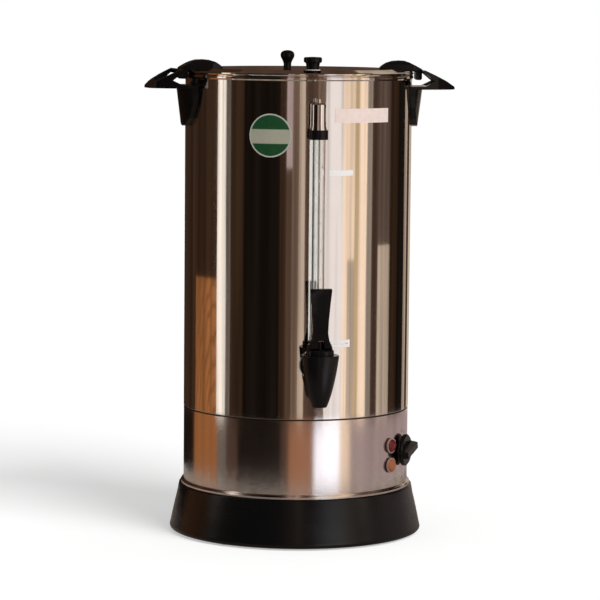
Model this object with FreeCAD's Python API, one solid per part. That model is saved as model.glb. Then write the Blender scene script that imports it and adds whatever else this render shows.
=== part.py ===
# Hot water urn: a polished steel tank on a satin steel housing and a black base skirt.
# Millimetres, +Z up, tap towards -Y. Every piece is shaped about the tank axis, and export moves
# it so that the origin is on the table under the middle of the urn, between tap and inlet.
# Azimuths are measured from the tap, positive towards +X.
import math
import os
import FreeCAD
import Part

V = FreeCAD.Vector
os.makedirs("parts", exist_ok=True)

# Main sizes read from the photo
BODY_R = 115.0
SHEET = 0.8
SKIRT_BOTTOM_Z = 1.5
SKIRT_TOP_Z = 48.6
SKIRT_WALL = 3.0
SKIRT_FLARE = 13.7
SEAM_Z = 128.0
RIM_Z = 466.6
RIM_BEAD_R = BODY_R + 1.2
PLATEAU_Z = RIM_Z + 5.9
PLATEAU_R = BODY_R - 15.0
FOOT_R = BODY_R - 3.0
HOUSING_SCREW_R = BODY_R - 4.5
PLATE_Z = 7.0
PLATE_T = 1.2
TALL = 2 * RIM_Z

# Fits
TOUCH_GAP = 0.3
RUN_FIT = 0.1
PIN_FIT = 0.05

# Tank floor and heater
FLOOR_Z = SEAM_Z + 12.0
SPIGOT_Z = SEAM_Z - 10.0
HEAT_PLATE_R = 72.0
HEAT_PLATE_T = 4.0
ELEMENT_RING_R = 56.0
ELEMENT_TUBE_R = 4.0

# Tap and sight gauge
TAP_SHANK_Z = 184.0
SHANK_R = 9.5
TAP_TIP_Z = TAP_SHANK_Z - 37.0
SHOULDER_Z = TAP_SHANK_Z + 14.0
TAP_NOSE_R = 18.6
CHAMBER_R = 11.0
SEAT_Z = TAP_SHANK_Z - 8.0
OUTLET_R = 5.0
BONNET_TOP_Z = SHOULDER_Z + 5.5
BONNET_R = 13.4
STEM_R = 2.5
LEVER_PIN_Z = BONNET_TOP_Z + 4.7
LEVER_TOP_Z = LEVER_PIN_Z + 54.8
LEVER_TURN = 55.0
STEM_LIFT = 4.0
GAUGE_REACH = 14.5
GAUGE_R = BODY_R + GAUGE_REACH
GAUGE_NUT_R = 8.2
TAP_R = GAUGE_R + GAUGE_NUT_R + BONNET_R + 0.9
TUBE_R = 5.8
HOLDER_Z = RIM_Z - 60.4
TUBE_TOP_Z = HOLDER_Z + 17.8
AXIS_Y = (TAP_R + TAP_NOSE_R - BODY_R - SKIRT_FLARE) / 2

# Controls on the lower housing
KNOB_AZ = 60.3
KNOB_Z = 88.7
KNOB_R = 16.0
GRIP_TILT = 14.0
LAMP_AZ = 47.0
LAMP_ZS = (96.4, 76.4)
LAMP_R = 7.0
INLET_Z = 88.0

# Handles and lid
HANDLE_AZ = 83.5
GRIP_REACH = 43.0
GRIP_TIP_R = BODY_R + GRIP_REACH
GRIP_BASE_Z = RIM_Z - 14.2
LEG_TIP_Z = GRIP_BASE_Z - 37.9
BOLT_ZS = (RIM_Z - 40.6, RIM_Z - 24.6)
FILLER_Y = 25.0 - BODY_R
LIFT_KNOB_Y = BODY_R - 37.0
LUG_SCREW_R = BODY_R - 22.0


# Helpers
def disc(radius, z0, z1, x=0.0, y=0.0):
    return Part.makeCylinder(radius, z1 - z0, V(x, y, z0))


def ring(outer, inner, z0, z1, x=0.0, y=0.0):
    return disc(outer, z0, z1, x, y).cut(disc(inner, z0 - 1, z1 + 1, x, y))


def block(x0, x1, y0, y1, z0, z1):
    return Part.makeBox(x1 - x0, y1 - y0, z1 - z0, V(x0, y0, z0))


def turned(points, x=0.0, y=0.0):
    wire = Part.makePolygon([V(r, 0, z) for r, z in points + points[:1]])
    solid = Part.Face(wire).revolve(V(0, 0, 0), V(0, 0, 1), 360)
    return solid.translated(V(x, y, 0))


def beside(radius, height, points):
    """Moves section points, given as steps out and up, to where they start from."""
    return [(radius + out, height + up) for out, up in points]


def curve(points):
    spline = Part.BSplineCurve()
    spline.interpolate([V(r, 0, z) for r, z in points])
    return spline.toShape()


def turned_curve(smooth, straight, x=0.0, y=0.0):
    corners = [smooth[-1]] + straight + [smooth[0]]
    edges = [curve(smooth)]
    for a, b in zip(corners, corners[1:]):
        edges.append(Part.makeLine(V(a[0], 0, a[1]), V(b[0], 0, b[1])))
    solid = Part.Face(Part.Wire(edges)).revolve(V(0, 0, 0), V(0, 0, 1), 360)
    return solid.translated(V(x, y, 0))


def prism(points, axis, low, high):
    spans = {"x": lambda a, b: V(low, a, b), "y": lambda a, b: V(a, low, b), "z": lambda a, b: V(a, b, low)}
    sweep = {"x": V(high - low, 0, 0), "y": V(0, high - low, 0), "z": V(0, 0, high - low)}
    wire = Part.makePolygon([spans[axis](a, b) for a, b in points + points[:1]])
    return Part.Face(wire).extrude(sweep[axis])


def on_wall(shape, azimuth, height):
    """Local X runs along the wall, local Y up and local Z outward from the tank axis."""
    a = math.radians(azimuth)
    s, c = math.sin(a), math.cos(a)
    frame = FreeCAD.Matrix(c, 0, s, 0, s, 0, -c, 0, 0, 1, 0, height, 0, 0, 0, 1)
    return shape.transformed(frame)


def at_azimuth(shape, azimuth):
    """Turns a shape built towards +X round to its azimuth from the tap."""
    return shape.rotated(V(0, 0, 0), V(0, 0, 1), azimuth - 90.0)


def wall_hole(radius, azimuth, height):
    return on_wall(disc(radius, BODY_R - 10, BODY_R + 10), azimuth, height)


def around(shape, count, start=0.0):
    turns = [start + 360.0 * i / count for i in range(count)]
    return [shape.rotated(V(0, 0, 0), V(0, 0, 1), t) for t in turns]


def screw(head_r, head_h, shank_r, length):
    """Domed head on Z = 0 pointing up, shank downward, with a driver slot."""
    head = disc(head_r, 0, head_h * 0.5)
    dome = Part.makeCone(head_r, head_r * 0.62, head_h * 0.5, V(0, 0, head_h * 0.5))
    slot = block(-head_r, head_r, -0.4, 0.4, head_h * 0.55, head_h + 1)
    return head.fuse(dome).cut(slot).fuse(disc(shank_r, -length, 0)).removeSplitter()


def export(name, shape):
    solids = shape if isinstance(shape, list) else [shape]
    out = solids[0] if len(solids) == 1 else Part.makeCompound(solids)
    out = out.translated(V(0, AXIS_Y, 0))
    out.exportStep("parts/" + name + ".step")
    print(name, round(out.Volume), out.isValid())


# Base
def base_skirt():
    outer = beside(BODY_R, SKIRT_TOP_Z, [(4.4, 0.0), (6.0, -9.6), (8.5, -20.1), (10.8, -30.6)])
    outer += beside(BODY_R, SKIRT_BOTTOM_Z, [(SKIRT_FLARE - 0.7, 6.1), (SKIRT_FLARE, 3.1)])
    inner = beside(BODY_R, SKIRT_BOTTOM_Z, [(12.6, 0.9), (11.0, 0.0), (9.6, 0.0), (9.6, 6.5)])
    inner += beside(BODY_R, SKIRT_TOP_Z, [(4.6, -18.6), (1.6, -SKIRT_WALL)])
    inner += beside(BODY_R, SKIRT_TOP_Z, [(-9.0, -SKIRT_WALL), (-9.0, 0.0)])
    skirt = turned_curve(outer, inner)
    rib = block(BODY_R - 8.0, BODY_R + 5.5, -1.2, 1.2, SKIRT_TOP_Z - 22.6, SKIRT_TOP_Z - 1.0)
    slope = beside(BODY_R, SKIRT_TOP_Z, [(-9.0, -28.6), (-9.0, -6.6), (5.0, -28.6)])
    rib = rib.cut(prism(slope, "y", -2, 2))
    boss = disc(5.0, PLATE_Z + PLATE_T, SKIRT_TOP_Z - 1.0, FOOT_R, 0.0)
    boss = boss.cut(disc(1.6, 0, SKIRT_TOP_Z - 18.6, FOOT_R, 0.0))
    for piece in around(rib, 8, 22.5) + around(boss, 4, 45.0):
        skirt = skirt.fuse(piece)
    for piece in around(disc(1.8, SKIRT_TOP_Z - 18.6, TALL, HOUSING_SCREW_R, 0.0), 3, 90.0):
        skirt = skirt.cut(piece)
    return skirt.removeSplitter()


def base_plate():
    plate = disc(BODY_R + 7.5, PLATE_Z, PLATE_Z + PLATE_T)
    for hole in around(disc(2.2, 0, 20, FOOT_R, 0.0), 4, 45.0):
        plate = plate.cut(hole)
    near, far = BODY_R - 75.0, BODY_R - 37.0
    slot = block(near, far, -2.0, 2.0, 0, 20).fuse(disc(2.0, 0, 20, near, 0)).fuse(disc(2.0, 0, 20, far, 0))
    for hole in around(slot, 12, 15.0):
        plate = plate.cut(hole)
    return plate


def base_foot():
    foot = turned([(4.6, 0), (8.2, 0), (9.0, 0.8), (9.0, PLATE_Z), (2.2, PLATE_Z), (2.2, 4.0), (4.6, 4.0)])
    return foot.translated(V(FOOT_R, 0, 0))


def base_screw():
    head = screw(3.8, 1.8, 1.55, 15.0).rotated(V(0, 0, 0), V(1, 0, 0), 180)
    return head.translated(V(FOOT_R, 0, 4.0))


# Lower housing
def lower_housing():
    outer = BODY_R - 0.2
    inner = outer - SHEET
    profile = beside(BODY_R, SKIRT_TOP_Z, [(-8.5, 0.0), (1.8, 0.0), (2.5, 0.9)])
    profile += beside(BODY_R, SKIRT_TOP_Z, [(2.5, 2.6), (1.6, 3.8), (0.4, 4.2)])
    profile += [(outer, SKIRT_TOP_Z + 5.0), (outer, SEAM_Z - 0.5), (inner, SEAM_Z - 0.5)]
    profile += [(inner, SKIRT_TOP_Z + 0.9), (BODY_R - 8.5, SKIRT_TOP_Z + 0.9)]
    housing = turned(profile)
    housing = housing.cut(wall_hole(4.0, KNOB_AZ, KNOB_Z))
    for z in LAMP_ZS:
        housing = housing.cut(wall_hole(5.2, LAMP_AZ, z))
    window = on_wall(block(-14.2, 14.2, -10.4, 10.4, BODY_R - 15, BODY_R + 15), 180, INLET_Z)
    housing = housing.cut(window)
    for x in (-20.0, 20.0):
        hole = Part.makeCylinder(1.7, 30, V(x, BODY_R - 15, INLET_Z), V(0, 1, 0))
        housing = housing.cut(hole)
    for hole in around(disc(1.8, SKIRT_TOP_Z - 8, SKIRT_TOP_Z + 8, HOUSING_SCREW_R, 0), 3, 90.0):
        housing = housing.cut(hole)
    return housing


def housing_screw():
    return screw(3.4, 1.8, 1.55, 7.0).translated(V(HOUSING_SCREW_R, 0, SKIRT_TOP_Z + 0.9))


# Tank and heater
def tank():
    inner = BODY_R - SHEET
    low = BODY_R - 0.2 - SHEET - TOUCH_GAP
    profile = [(0, FLOOR_Z), (BODY_R - 11.0, FLOOR_Z), (inner, FLOOR_Z + 9.0), (inner, RIM_Z - 0.9)]
    profile += [(inner + 0.5, RIM_Z), (RIM_BEAD_R - 0.9, RIM_Z), (RIM_BEAD_R, RIM_Z - 1.1)]
    profile += [(RIM_BEAD_R, RIM_Z - 2.8), (RIM_BEAD_R - 0.8, RIM_Z - 3.9), (BODY_R, RIM_Z - 4.2)]
    profile += [(BODY_R, SEAM_Z + 1.2), (BODY_R - 0.4, SEAM_Z + 0.4), (low, SEAM_Z + 0.4)]
    profile += [(low, SPIGOT_Z), (low - SHEET, SPIGOT_Z), (low - SHEET, SEAM_Z + 4.0)]
    profile += [(low - SHEET, FLOOR_Z + 7.2), (BODY_R - 11.3, FLOOR_Z - 1.0), (0, FLOOR_Z - 1.0)]
    shell = turned(profile)
    shell = shell.cut(wall_hole(SHANK_R + TOUCH_GAP, 0, TAP_SHANK_Z))
    shell = shell.cut(wall_hole(1.8, 0, HOLDER_Z + 4.5))
    for side in (-1, 1):
        for z in BOLT_ZS:
            shell = shell.cut(wall_hole(2.3, side * HANDLE_AZ, z))
    return shell


def heat_plate():
    top = FLOOR_Z - 1.0
    plate = disc(HEAT_PLATE_R, top - HEAT_PLATE_T, top)
    groove = Part.makeTorus(ELEMENT_RING_R, ELEMENT_TUBE_R + 0.05, V(0, 0, top - HEAT_PLATE_T - 1.0))
    return plate.cut(groove).cut(disc(2.6, top - 20, top - 1.2))


def heating_element():
    z = FLOOR_Z - 2.0 - HEAT_PLATE_T
    coil = Part.makeTorus(ELEMENT_RING_R, ELEMENT_TUBE_R, V(0, 0, z), V(0, 0, 1), 0, 360, 336)
    coil.rotate(V(0, 0, 0), V(0, 0, 1), 102)
    coil = coil.cut(disc(200, z + 3.0, z + 10))
    for side in (-1, 1):
        a = math.radians(90 + side * 12)
        x, y = ELEMENT_RING_R * math.cos(a), ELEMENT_RING_R * math.sin(a)
        coil = coil.fuse(Part.makeSphere(ELEMENT_TUBE_R, V(x, y, z)).cut(disc(200, z + 3.0, z + 10)))
        coil = coil.fuse(disc(ELEMENT_TUBE_R - 0.2, z - 16, z, x, y))
        coil = coil.fuse(disc(1.6, z - 26, z - 15, x, y))
    return coil


def heater_clamp():
    z = FLOOR_Z - 2.0 - HEAT_PLATE_T - ELEMENT_TUBE_R
    half = ELEMENT_RING_R + 6.0
    bar = block(-half, half, -8, 8, z - 1.6, z).cut(disc(2.6, z - 5, z + 5))
    slots = block(-36, -12, -4, 4, z - 5, z + 5).fuse(block(12, 36, -4, 4, z - 5, z + 5))
    return bar.cut(slots)


def heater_stud():
    z = FLOOR_Z - 2.0 - HEAT_PLATE_T - ELEMENT_TUBE_R - 1.6
    rod = disc(2.5, z - 8, FLOOR_Z - 2.4)
    nut = hexagon(4.6, z - 4, z).cut(disc(2.45, z - 9, z + 1))
    return rod.fuse(nut)


def hexagon(inradius, z0, z1, x=0.0, y=0.0):
    reach = inradius / math.cos(math.radians(30))
    corners = [(x + reach * math.cos(math.radians(60 * i)), y + reach * math.sin(math.radians(60 * i)))
               for i in range(6)]
    return prism(corners, "z", z0, z1)


def thermal_cutout():
    z = FLOOR_Z - 1.0 - HEAT_PLATE_T
    x, y = 0.737 * (ELEMENT_RING_R - 18.0), 0.684 * (ELEMENT_RING_R - 18.0)
    body = disc(8.0, z - 7.0, z, x, y).fuse(disc(11.0, z - 1.2, z, x, y))
    for dx in (-3.5, 3.5):
        body = body.fuse(block(x + dx - 0.4, x + dx + 0.4, y - 3, y + 3, z - 14.0, z - 6.5))
    return body


# Controls
def thermostat_body():
    inner = BODY_R - 0.2 - SHEET
    body = block(-16, 16, -14, 14, inner - 24.0, inner - 2.2)
    neck = disc(3.6, inner - 3.0, BODY_R + 1.6)
    body = body.fuse(neck).cut(disc(3.0 + PIN_FIT, inner - 12.0, BODY_R + 5))
    for x in (-10, 10):
        body = body.fuse(block(x - 3, x + 3, -9, -8.2, inner - 32.0, inner - 23.0))
    return on_wall(body, KNOB_AZ, KNOB_Z)


def thermostat_nut():
    inner = BODY_R - 0.2 - SHEET
    nut = hexagon(6.0, inner - 2.1, inner - 0.5).cut(disc(3.6, inner - 5, inner + 5))
    return on_wall(nut, KNOB_AZ, KNOB_Z)


def thermostat_shaft():
    shaft = disc(3.0, BODY_R - 12.0, BODY_R + 8.6)
    shaft = shaft.cut(block(1.8, 5, -5, 5, BODY_R + 2.6, BODY_R + 12))
    return on_wall(shaft, KNOB_AZ, KNOB_Z)


def thermostat_knob():
    foot = BODY_R + 2.2
    dial = turned([(0, foot), (KNOB_R - 0.6, foot), (KNOB_R, foot + 0.8), (KNOB_R, foot + 3.0),
                   (KNOB_R - 1.4, foot + 4.2), (0, foot + 4.2)])
    grip = prism([(-4.6, foot + 4.0), (4.6, foot + 4.0), (3.2, foot + 10.6), (-3.2, foot + 10.6)], "y",
                 -KNOB_R + 0.8, KNOB_R - 0.8)
    grip = grip.rotated(V(0, 0, 0), V(0, 0, 1), 90.0 + GRIP_TILT)
    grip = grip.common(disc(KNOB_R - 0.8, foot, foot + 20))
    knob = dial.fuse(grip)
    ridge = disc(0.55, foot + 0.8, foot + 3.0, KNOB_R, 0)
    for notch in around(ridge, 36):
        knob = knob.cut(notch)
    bore = disc(3.0, foot - 1, BODY_R + 8.7).cut(block(1.8, 5, -5, 5, foot + 0.5, foot + 20))
    return on_wall(knob.cut(bore), KNOB_AZ, KNOB_Z)


def lamp_body(z):
    inner = BODY_R - 0.2 - SHEET
    body = disc(5.0, inner - 20.0, BODY_R + 0.9)
    body = body.fuse(ring(LAMP_R + 0.6, 5.0, BODY_R + 0.9, BODY_R + 2.4))
    body = body.fuse(disc(6.6, inner - 4.5, inner - 0.6)).cut(disc(4.0, inner - 14.0, BODY_R + 5))
    for x in (-2.4, 2.4):
        body = body.fuse(block(x - 0.4, x + 0.4, -1.6, 1.6, inner - 27.0, inner - 19.0))
    return on_wall(body, LAMP_AZ, z)


def lamp_lens(z):
    lens = turned_curve([(LAMP_R - 0.6, BODY_R + 2.4), (LAMP_R - 1.0, BODY_R + 3.4), (4.2, BODY_R + 4.5),
                         (0, BODY_R + 4.9)], [(0, BODY_R - 4.0), (3.9, BODY_R - 4.0), (3.9, BODY_R + 2.4)])
    return on_wall(lens, LAMP_AZ, z)


def inlet_socket():
    inner = BODY_R - 0.2 - SHEET
    seat = BODY_R + 0.5
    flange = block(-25.0, 25.0, -11.5, 11.5, seat, seat + 2.4)
    shell = block(-13.8, 13.8, -10.0, 10.0, inner - 20.0, seat + 0.1)
    cavity = block(-12.0, 12.0, -8.2, 8.2, inner - 13.0, seat + 10)
    body = flange.fuse(shell).cut(cavity)
    for x in (-7.0, 0.0, 7.0):
        pin_y = 2.0 if x == 0.0 else -1.5
        body = body.fuse(block(x - 1.0, x + 1.0, pin_y - 2.0, pin_y + 2.0, inner - 13.5, seat - 2.0))
        body = body.fuse(block(x - 0.5, x + 0.5, pin_y - 3.0, pin_y + 3.0, inner - 29.0, inner - 19.0))
    for x in (-20.0, 20.0):
        body = body.cut(disc(1.7, seat - 30, seat + 10, x, 0))
    pads = block(-25.0, -15.0, -11.5, 11.5, inner - 4, seat)
    pads = pads.fuse(block(15.0, 25.0, -11.5, 11.5, inner - 4, seat))
    curved = disc(BODY_R - 0.2 + TOUCH_GAP, -20, 20).rotated(V(0, 0, 0), V(1, 0, 0), 90)
    pads = pads.cut(curved)
    for x in (-20.0, 20.0):
        pads = pads.cut(disc(1.7, seat - 30, seat + 10, x, 0))
    return on_wall(body.fuse(pads), 180, INLET_Z)


def inlet_screws():
    seat = BODY_R + 2.9
    shape = screw(3.0, 1.6, 1.6, 12.0)
    return [on_wall(shape.translated(V(x, 0, seat)), 180, INLET_Z) for x in (-20.0, 20.0)]


def terminal_block():
    body = block(-22, 22, 40, 56, PLATE_Z + PLATE_T, 22.0)
    for i in range(4):
        x = -16.5 + 11.0 * i
        body = body.cut(disc(2.2, 14.0, 30, x, 48.0))
        body = body.cut(Part.makeCylinder(1.8, 30, V(x, 33, 12.5), V(0, 1, 0)))
    return body


# Tap
def tap_body():
    taper = beside(0, TAP_TIP_Z, [(6.9, 0.0), (9.3, 6.0), (11.8, 14.0)])
    taper += beside(0, TAP_TIP_Z, [(13.9, 22.5), (15.7, 31.0), (17.4, 41.0)])
    taper.append((TAP_NOSE_R, SHOULDER_Z - 1.0))
    cone = turned_curve(taper, [(TAP_NOSE_R - 0.6, SHOULDER_Z), (0, SHOULDER_Z), (0, TAP_TIP_Z)], 0, -TAP_R)
    shank = Part.makeCylinder(SHANK_R, TAP_R - BODY_R + 18.0, V(0, -TAP_R, TAP_SHANK_Z), V(0, 1, 0))
    collar = Part.makeCylinder(14.5, 4.0, V(0, -BODY_R - 6.0, TAP_SHANK_Z), V(0, 1, 0))
    socket = disc(8.6, TAP_SHANK_Z, TAP_SHANK_Z + 16.0, 0, -GAUGE_R)
    body = cone.fuse([shank, collar, socket])
    hollow = disc(CHAMBER_R, SEAT_Z, SHOULDER_Z + 1, 0, -TAP_R)
    hollow = hollow.fuse(disc(12.4, SHOULDER_Z - 8.0, SHOULDER_Z + 1, 0, -TAP_R))
    hollow = hollow.fuse(disc(OUTLET_R, TAP_TIP_Z - 1, SEAT_Z + 1, 0, -TAP_R))
    waterway = Part.makeCylinder(5.5, TAP_R - BODY_R + 25.0, V(0, -TAP_R, TAP_SHANK_Z), V(0, 1, 0))
    hollow = hollow.fuse(waterway)
    hollow = hollow.fuse(disc(3.5, TAP_SHANK_Z, TAP_SHANK_Z + 18.0, 0, -GAUGE_R))
    hollow = hollow.fuse(disc(7.0, TAP_SHANK_Z + 8.0, TAP_SHANK_Z + 18.0, 0, -GAUGE_R))
    return body.cut(hollow).removeSplitter()


def tap_washer(y0, y1):
    inner = Part.makeCylinder(SHANK_R + 0.1, y1 - y0, V(0, y0, TAP_SHANK_Z), V(0, 1, 0))
    return Part.makeCylinder(15.0, y1 - y0, V(0, y0, TAP_SHANK_Z), V(0, 1, 0)).cut(inner)


def tap_outer_seal():
    seal = tap_washer(-BODY_R - 2.0, -BODY_R + 3.0)
    return seal.cut(disc(BODY_R, 0, TALL))


def tap_inner_seal():
    seal = tap_washer(-BODY_R - 1.0, -BODY_R + 3.0)
    return seal.common(disc(BODY_R - SHEET, 0, TALL))


def tap_locknut():
    nut = hexagon(14.0, 0, 6.0)
    nut = nut.cut(disc(SHANK_R, -1, 8))
    nut.rotate(V(0, 0, 0), V(1, 0, 0), -90)
    return nut.translated(V(0, -BODY_R + 3.0, TAP_SHANK_Z))


def seat_cup():
    top = SEAT_Z + 10.0
    cup = turned_curve([(9.0, top), (8.8, SEAT_Z + 5.0), (7.6, SEAT_Z + 1.6), (6.6, SEAT_Z)],
                       [(0, SEAT_Z), (0, top)], 0, -TAP_R)
    return cup.cut(disc(STEM_R, SEAT_Z + 3.0, top + 4.0, 0, -TAP_R))


def tap_stem():
    rod = disc(STEM_R, SEAT_Z + 3.0, LEVER_PIN_Z + 3.0, 0, -TAP_R)
    rod = rod.cut(Part.makeCylinder(1.3, 10, V(-5, -TAP_R, LEVER_PIN_Z), V(1, 0, 0)))
    return rod.fuse(ring(6.4, STEM_R - 0.2, SEAT_Z + 10.0, SEAT_Z + 11.0, 0, -TAP_R))


def tap_spring():
    wire_r = 0.6
    pitch = 2.4
    low, high = SEAT_Z + 11.0 + wire_r, SHOULDER_Z - wire_r
    helix = Part.makeHelix(pitch, high - low, 5.4)
    sides = [math.radians(30 * i) for i in range(12)]
    corners = [V(5.4 + wire_r * math.cos(a), 0, wire_r * math.sin(a)) for a in sides]
    profile = Part.makePolygon(corners + corners[:1])
    coil = Part.Wire(helix).makePipeShell([profile], True, True)
    return coil.translated(V(0, -TAP_R, low))


def tap_bonnet():
    plug = ring(12.3, 8.2, SHOULDER_Z - 7.0, SHOULDER_Z + 0.1, 0, -TAP_R)
    cap = turned([(0, SHOULDER_Z), (BONNET_R, SHOULDER_Z), (BONNET_R, BONNET_TOP_Z - 1.0),
                  (BONNET_R - 1.2, BONNET_TOP_Z), (0, BONNET_TOP_Z)], 0, -TAP_R)
    for i in range(18):
        a = math.radians(20 * i)
        x, y = BONNET_R * math.cos(a), BONNET_R * math.sin(a) - TAP_R
        cap = cap.cut(disc(0.7, SHOULDER_Z - 1, BONNET_TOP_Z + 1, x, y))
    return cap.fuse(plug).cut(disc(STEM_R + RUN_FIT, SEAT_Z, LEVER_PIN_Z, 0, -TAP_R))


def cam_reach(degrees):
    """Distance from pin to cam edge that keeps clear of the bonnet over the lever's whole turn."""
    rest = LEVER_PIN_Z - BONNET_TOP_Z
    limits = []
    for step in range(0, int(LEVER_TURN) + 1, 5):
        gap = math.radians(degrees - step)
        if math.cos(gap) > 0.1:
            limits.append((rest + STEM_LIFT * step / LEVER_TURN) / math.cos(gap))
    return min(limits) - 0.1


def tap_lever():
    pin_y = -TAP_R
    cam = []
    for degrees in range(0, 71, 5):
        a = math.radians(degrees)
        reach = cam_reach(degrees)
        cam.append((pin_y - reach * math.sin(a), LEVER_PIN_Z - reach * math.cos(a)))
    side = cam + beside(pin_y, LEVER_PIN_Z, [(-7.6, 3.8), (-5.4, 10.8)])
    side += beside(pin_y, LEVER_TOP_Z, [(-6.0, -23.0), (-7.4, -1.0), (-6.4, 0.0)])
    side += beside(pin_y, LEVER_TOP_Z, [(-0.4, 0.0), (0.6, -1.0), (2.0, -23.0)])
    side += beside(pin_y, LEVER_PIN_Z, [(4.2, 10.8), (5.4, 3.8), (5.4, -3.6)])
    side.append((pin_y + 4.6, BONNET_TOP_Z + 0.1))
    right = beside(0, LEVER_PIN_Z, [(11.2, -5.2), (10.6, -1.7), (7.8, 4.8), (6.9, 11.8)])
    right += beside(0, LEVER_TOP_Z, [(7.4, -31.0), (8.9, -15.0), (10.2, -0.8), (9.6, 1.0)])
    front = right + [(-x, z) for x, z in reversed(right)]
    lever = prism(side, "x", -12, 12).common(prism(front, "y", -TAP_R - 20, -TAP_R + 20))
    dish = Part.makeSphere(60.0, V(0, -TAP_R - 65.2, LEVER_TOP_Z - 17.0))
    lever = lever.cut(dish)
    fork = block(-3.0, 3.0, -TAP_R - 20, -TAP_R + 20, LEVER_PIN_Z - 8.2, LEVER_PIN_Z + 4.2)
    lever = lever.cut(fork)
    return lever.cut(Part.makeCylinder(1.3, 30, V(-15, -TAP_R, LEVER_PIN_Z), V(1, 0, 0)))


def lever_pin():
    return Part.makeCylinder(1.25, 19.0, V(-9.5, -TAP_R, LEVER_PIN_Z), V(1, 0, 0))


# Sight gauge
def gauge_tube():
    return ring(TUBE_R, TUBE_R - 1.4, TAP_SHANK_Z + 9.0, TUBE_TOP_Z, 0, -GAUGE_R)


def gauge_seal():
    return ring(7.0, TUBE_R, TAP_SHANK_Z + 12.0, TAP_SHANK_Z + 16.0, 0, -GAUGE_R)


def gauge_nut():
    low = TAP_SHANK_Z + 16.0
    nut = hexagon(GAUGE_NUT_R, low, low + 6.0, 0, -GAUGE_R)
    return nut.cut(disc(TUBE_R + 0.2, low - 2, low + 8, 0, -GAUGE_R))


def gauge_holder():
    collar = ring(9.4, TUBE_R + 0.2, HOLDER_Z, HOLDER_Z + 9.2, 0, -GAUGE_R)
    stalk = Part.makeCylinder(3.6, GAUGE_R - BODY_R, V(0, -GAUGE_R, HOLDER_Z + 4.5), V(0, 1, 0))
    stalk = stalk.cut(disc(TUBE_R + 0.2, 0, TALL, 0, -GAUGE_R)).cut(disc(BODY_R, 0, TALL))
    stalk = stalk.cut(Part.makeCylinder(1.5, 6.0, V(0, -BODY_R - 5.2, HOLDER_Z + 4.5), V(0, 1, 0)))
    return collar.fuse(stalk)


def holder_screw():
    shape = screw(3.6, 1.8, 1.45, 5.2).rotated(V(0, 0, 0), V(1, 0, 0), -90)
    return shape.translated(V(0, -BODY_R + SHEET + 0.35, HOLDER_Z + 4.5))


def gauge_cap():
    low = HOLDER_Z + 9.4
    cap = turned_curve([(8.6, low), (8.0, low + 2.2), (7.4, low + 5.4)],
                       [(7.3, low + 24.6), (6.3, low + 26.2), (2.2, low + 26.4), (2.0, low + 30.0),
                        (0, low + 30.2), (0, low)], 0, -GAUGE_R)
    cap = cap.cut(disc(TUBE_R + 0.2, low - 1, TUBE_TOP_Z + 0.5, 0, -GAUGE_R))
    return cap.cut(disc(0.8, TUBE_TOP_Z, low + 40, 0, -GAUGE_R))


# Handles
def handle():
    tip, base = GRIP_TIP_R, GRIP_BASE_Z
    side = [(BODY_R - 3.0, base)]
    side += beside(tip, base, [(-0.6, 0.0), (0.0, 0.8), (-0.4, 2.8), (-10.0, 9.0), (-22.0, 15.0)])
    side += beside(BODY_R, base, [(11.4, 19.4), (10.4, 18.8), (10.4, 15.6), (-3.0, 15.6)])
    edge = [(BODY_R - 5.0, 31.0), (BODY_R + 7.0, 31.0)]
    edge += beside(tip, 0, [(-18.0, 26.0), (-6.0, 19.0), (0.0, 10.0)])
    hole = [(BODY_R + 13.0, 22.5)] + beside(tip, 0, [(-20.0, 19.5), (-11.0, 13.5), (-8.5, 7.0)])
    plan = edge + [(x, -y) for x, y in reversed(edge)]
    opening = hole + [(x, -y) for x, y in reversed(hole)]
    window = beside(BODY_R, base, [(-5.0, 3.0), (11.6, 3.0)]) + [(tip - 21.4, base + 8.0)]
    window += beside(BODY_R, base, [(13.4, 14.8), (10.0, 16.0), (10.0, 27.6), (-5.0, 27.6)])
    grip = prism(side, "y", -31, 31).common(prism(plan, "z", base - 10, base + 40))
    grip = grip.cut(prism(opening, "z", 0, TALL)).cut(prism(window, "y", -40, 40))
    half = beside(0, base, [(31.0, 3.0), (31.0, -6.4), (27.0, -18.4), (19.0, -29.9), (10.0, -36.2)])
    shield = half + [(0.0, LEG_TIP_Z)] + [(-y, z) for y, z in reversed(half)]
    leg = Part.makeCone(55.0, 60.0, base + 3.0 - LEG_TIP_Z, V(BODY_R - 49.0, 0, LEG_TIP_Z))
    leg = leg.common(prism(shield, "x", BODY_R - 15.0, BODY_R + 25.0))
    whole = leg.fuse(grip).cut(disc(BODY_R + TOUCH_GAP, 0, TALL))
    for z in BOLT_ZS:
        whole = whole.cut(Part.makeCylinder(2.0, 10.0, V(BODY_R - 5.0, 0, z), V(1, 0, 0)))
    return whole.removeSplitter()


def handle_bolts():
    shape = screw(4.4, 2.4, 2.0, 5.0)
    bolts = []
    for side in (-1, 1):
        for z in BOLT_ZS:
            turned_in = shape.rotated(V(0, 0, 0), V(0, 1, 0), 180)
            bolts.append(on_wall(turned_in.translated(V(0, 0, BODY_R - SHEET - 0.8)), side * HANDLE_AZ, z))
    return bolts


def handle_washers():
    washers = []
    inner = BODY_R - SHEET
    for side in (-1, 1):
        for z in BOLT_ZS:
            pad = on_wall(ring(5.0, 2.05, inner - 0.8, inner + 1.0), side * HANDLE_AZ, z)
            washers.append(pad.common(disc(inner, 0, TALL)))
    return washers


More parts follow.
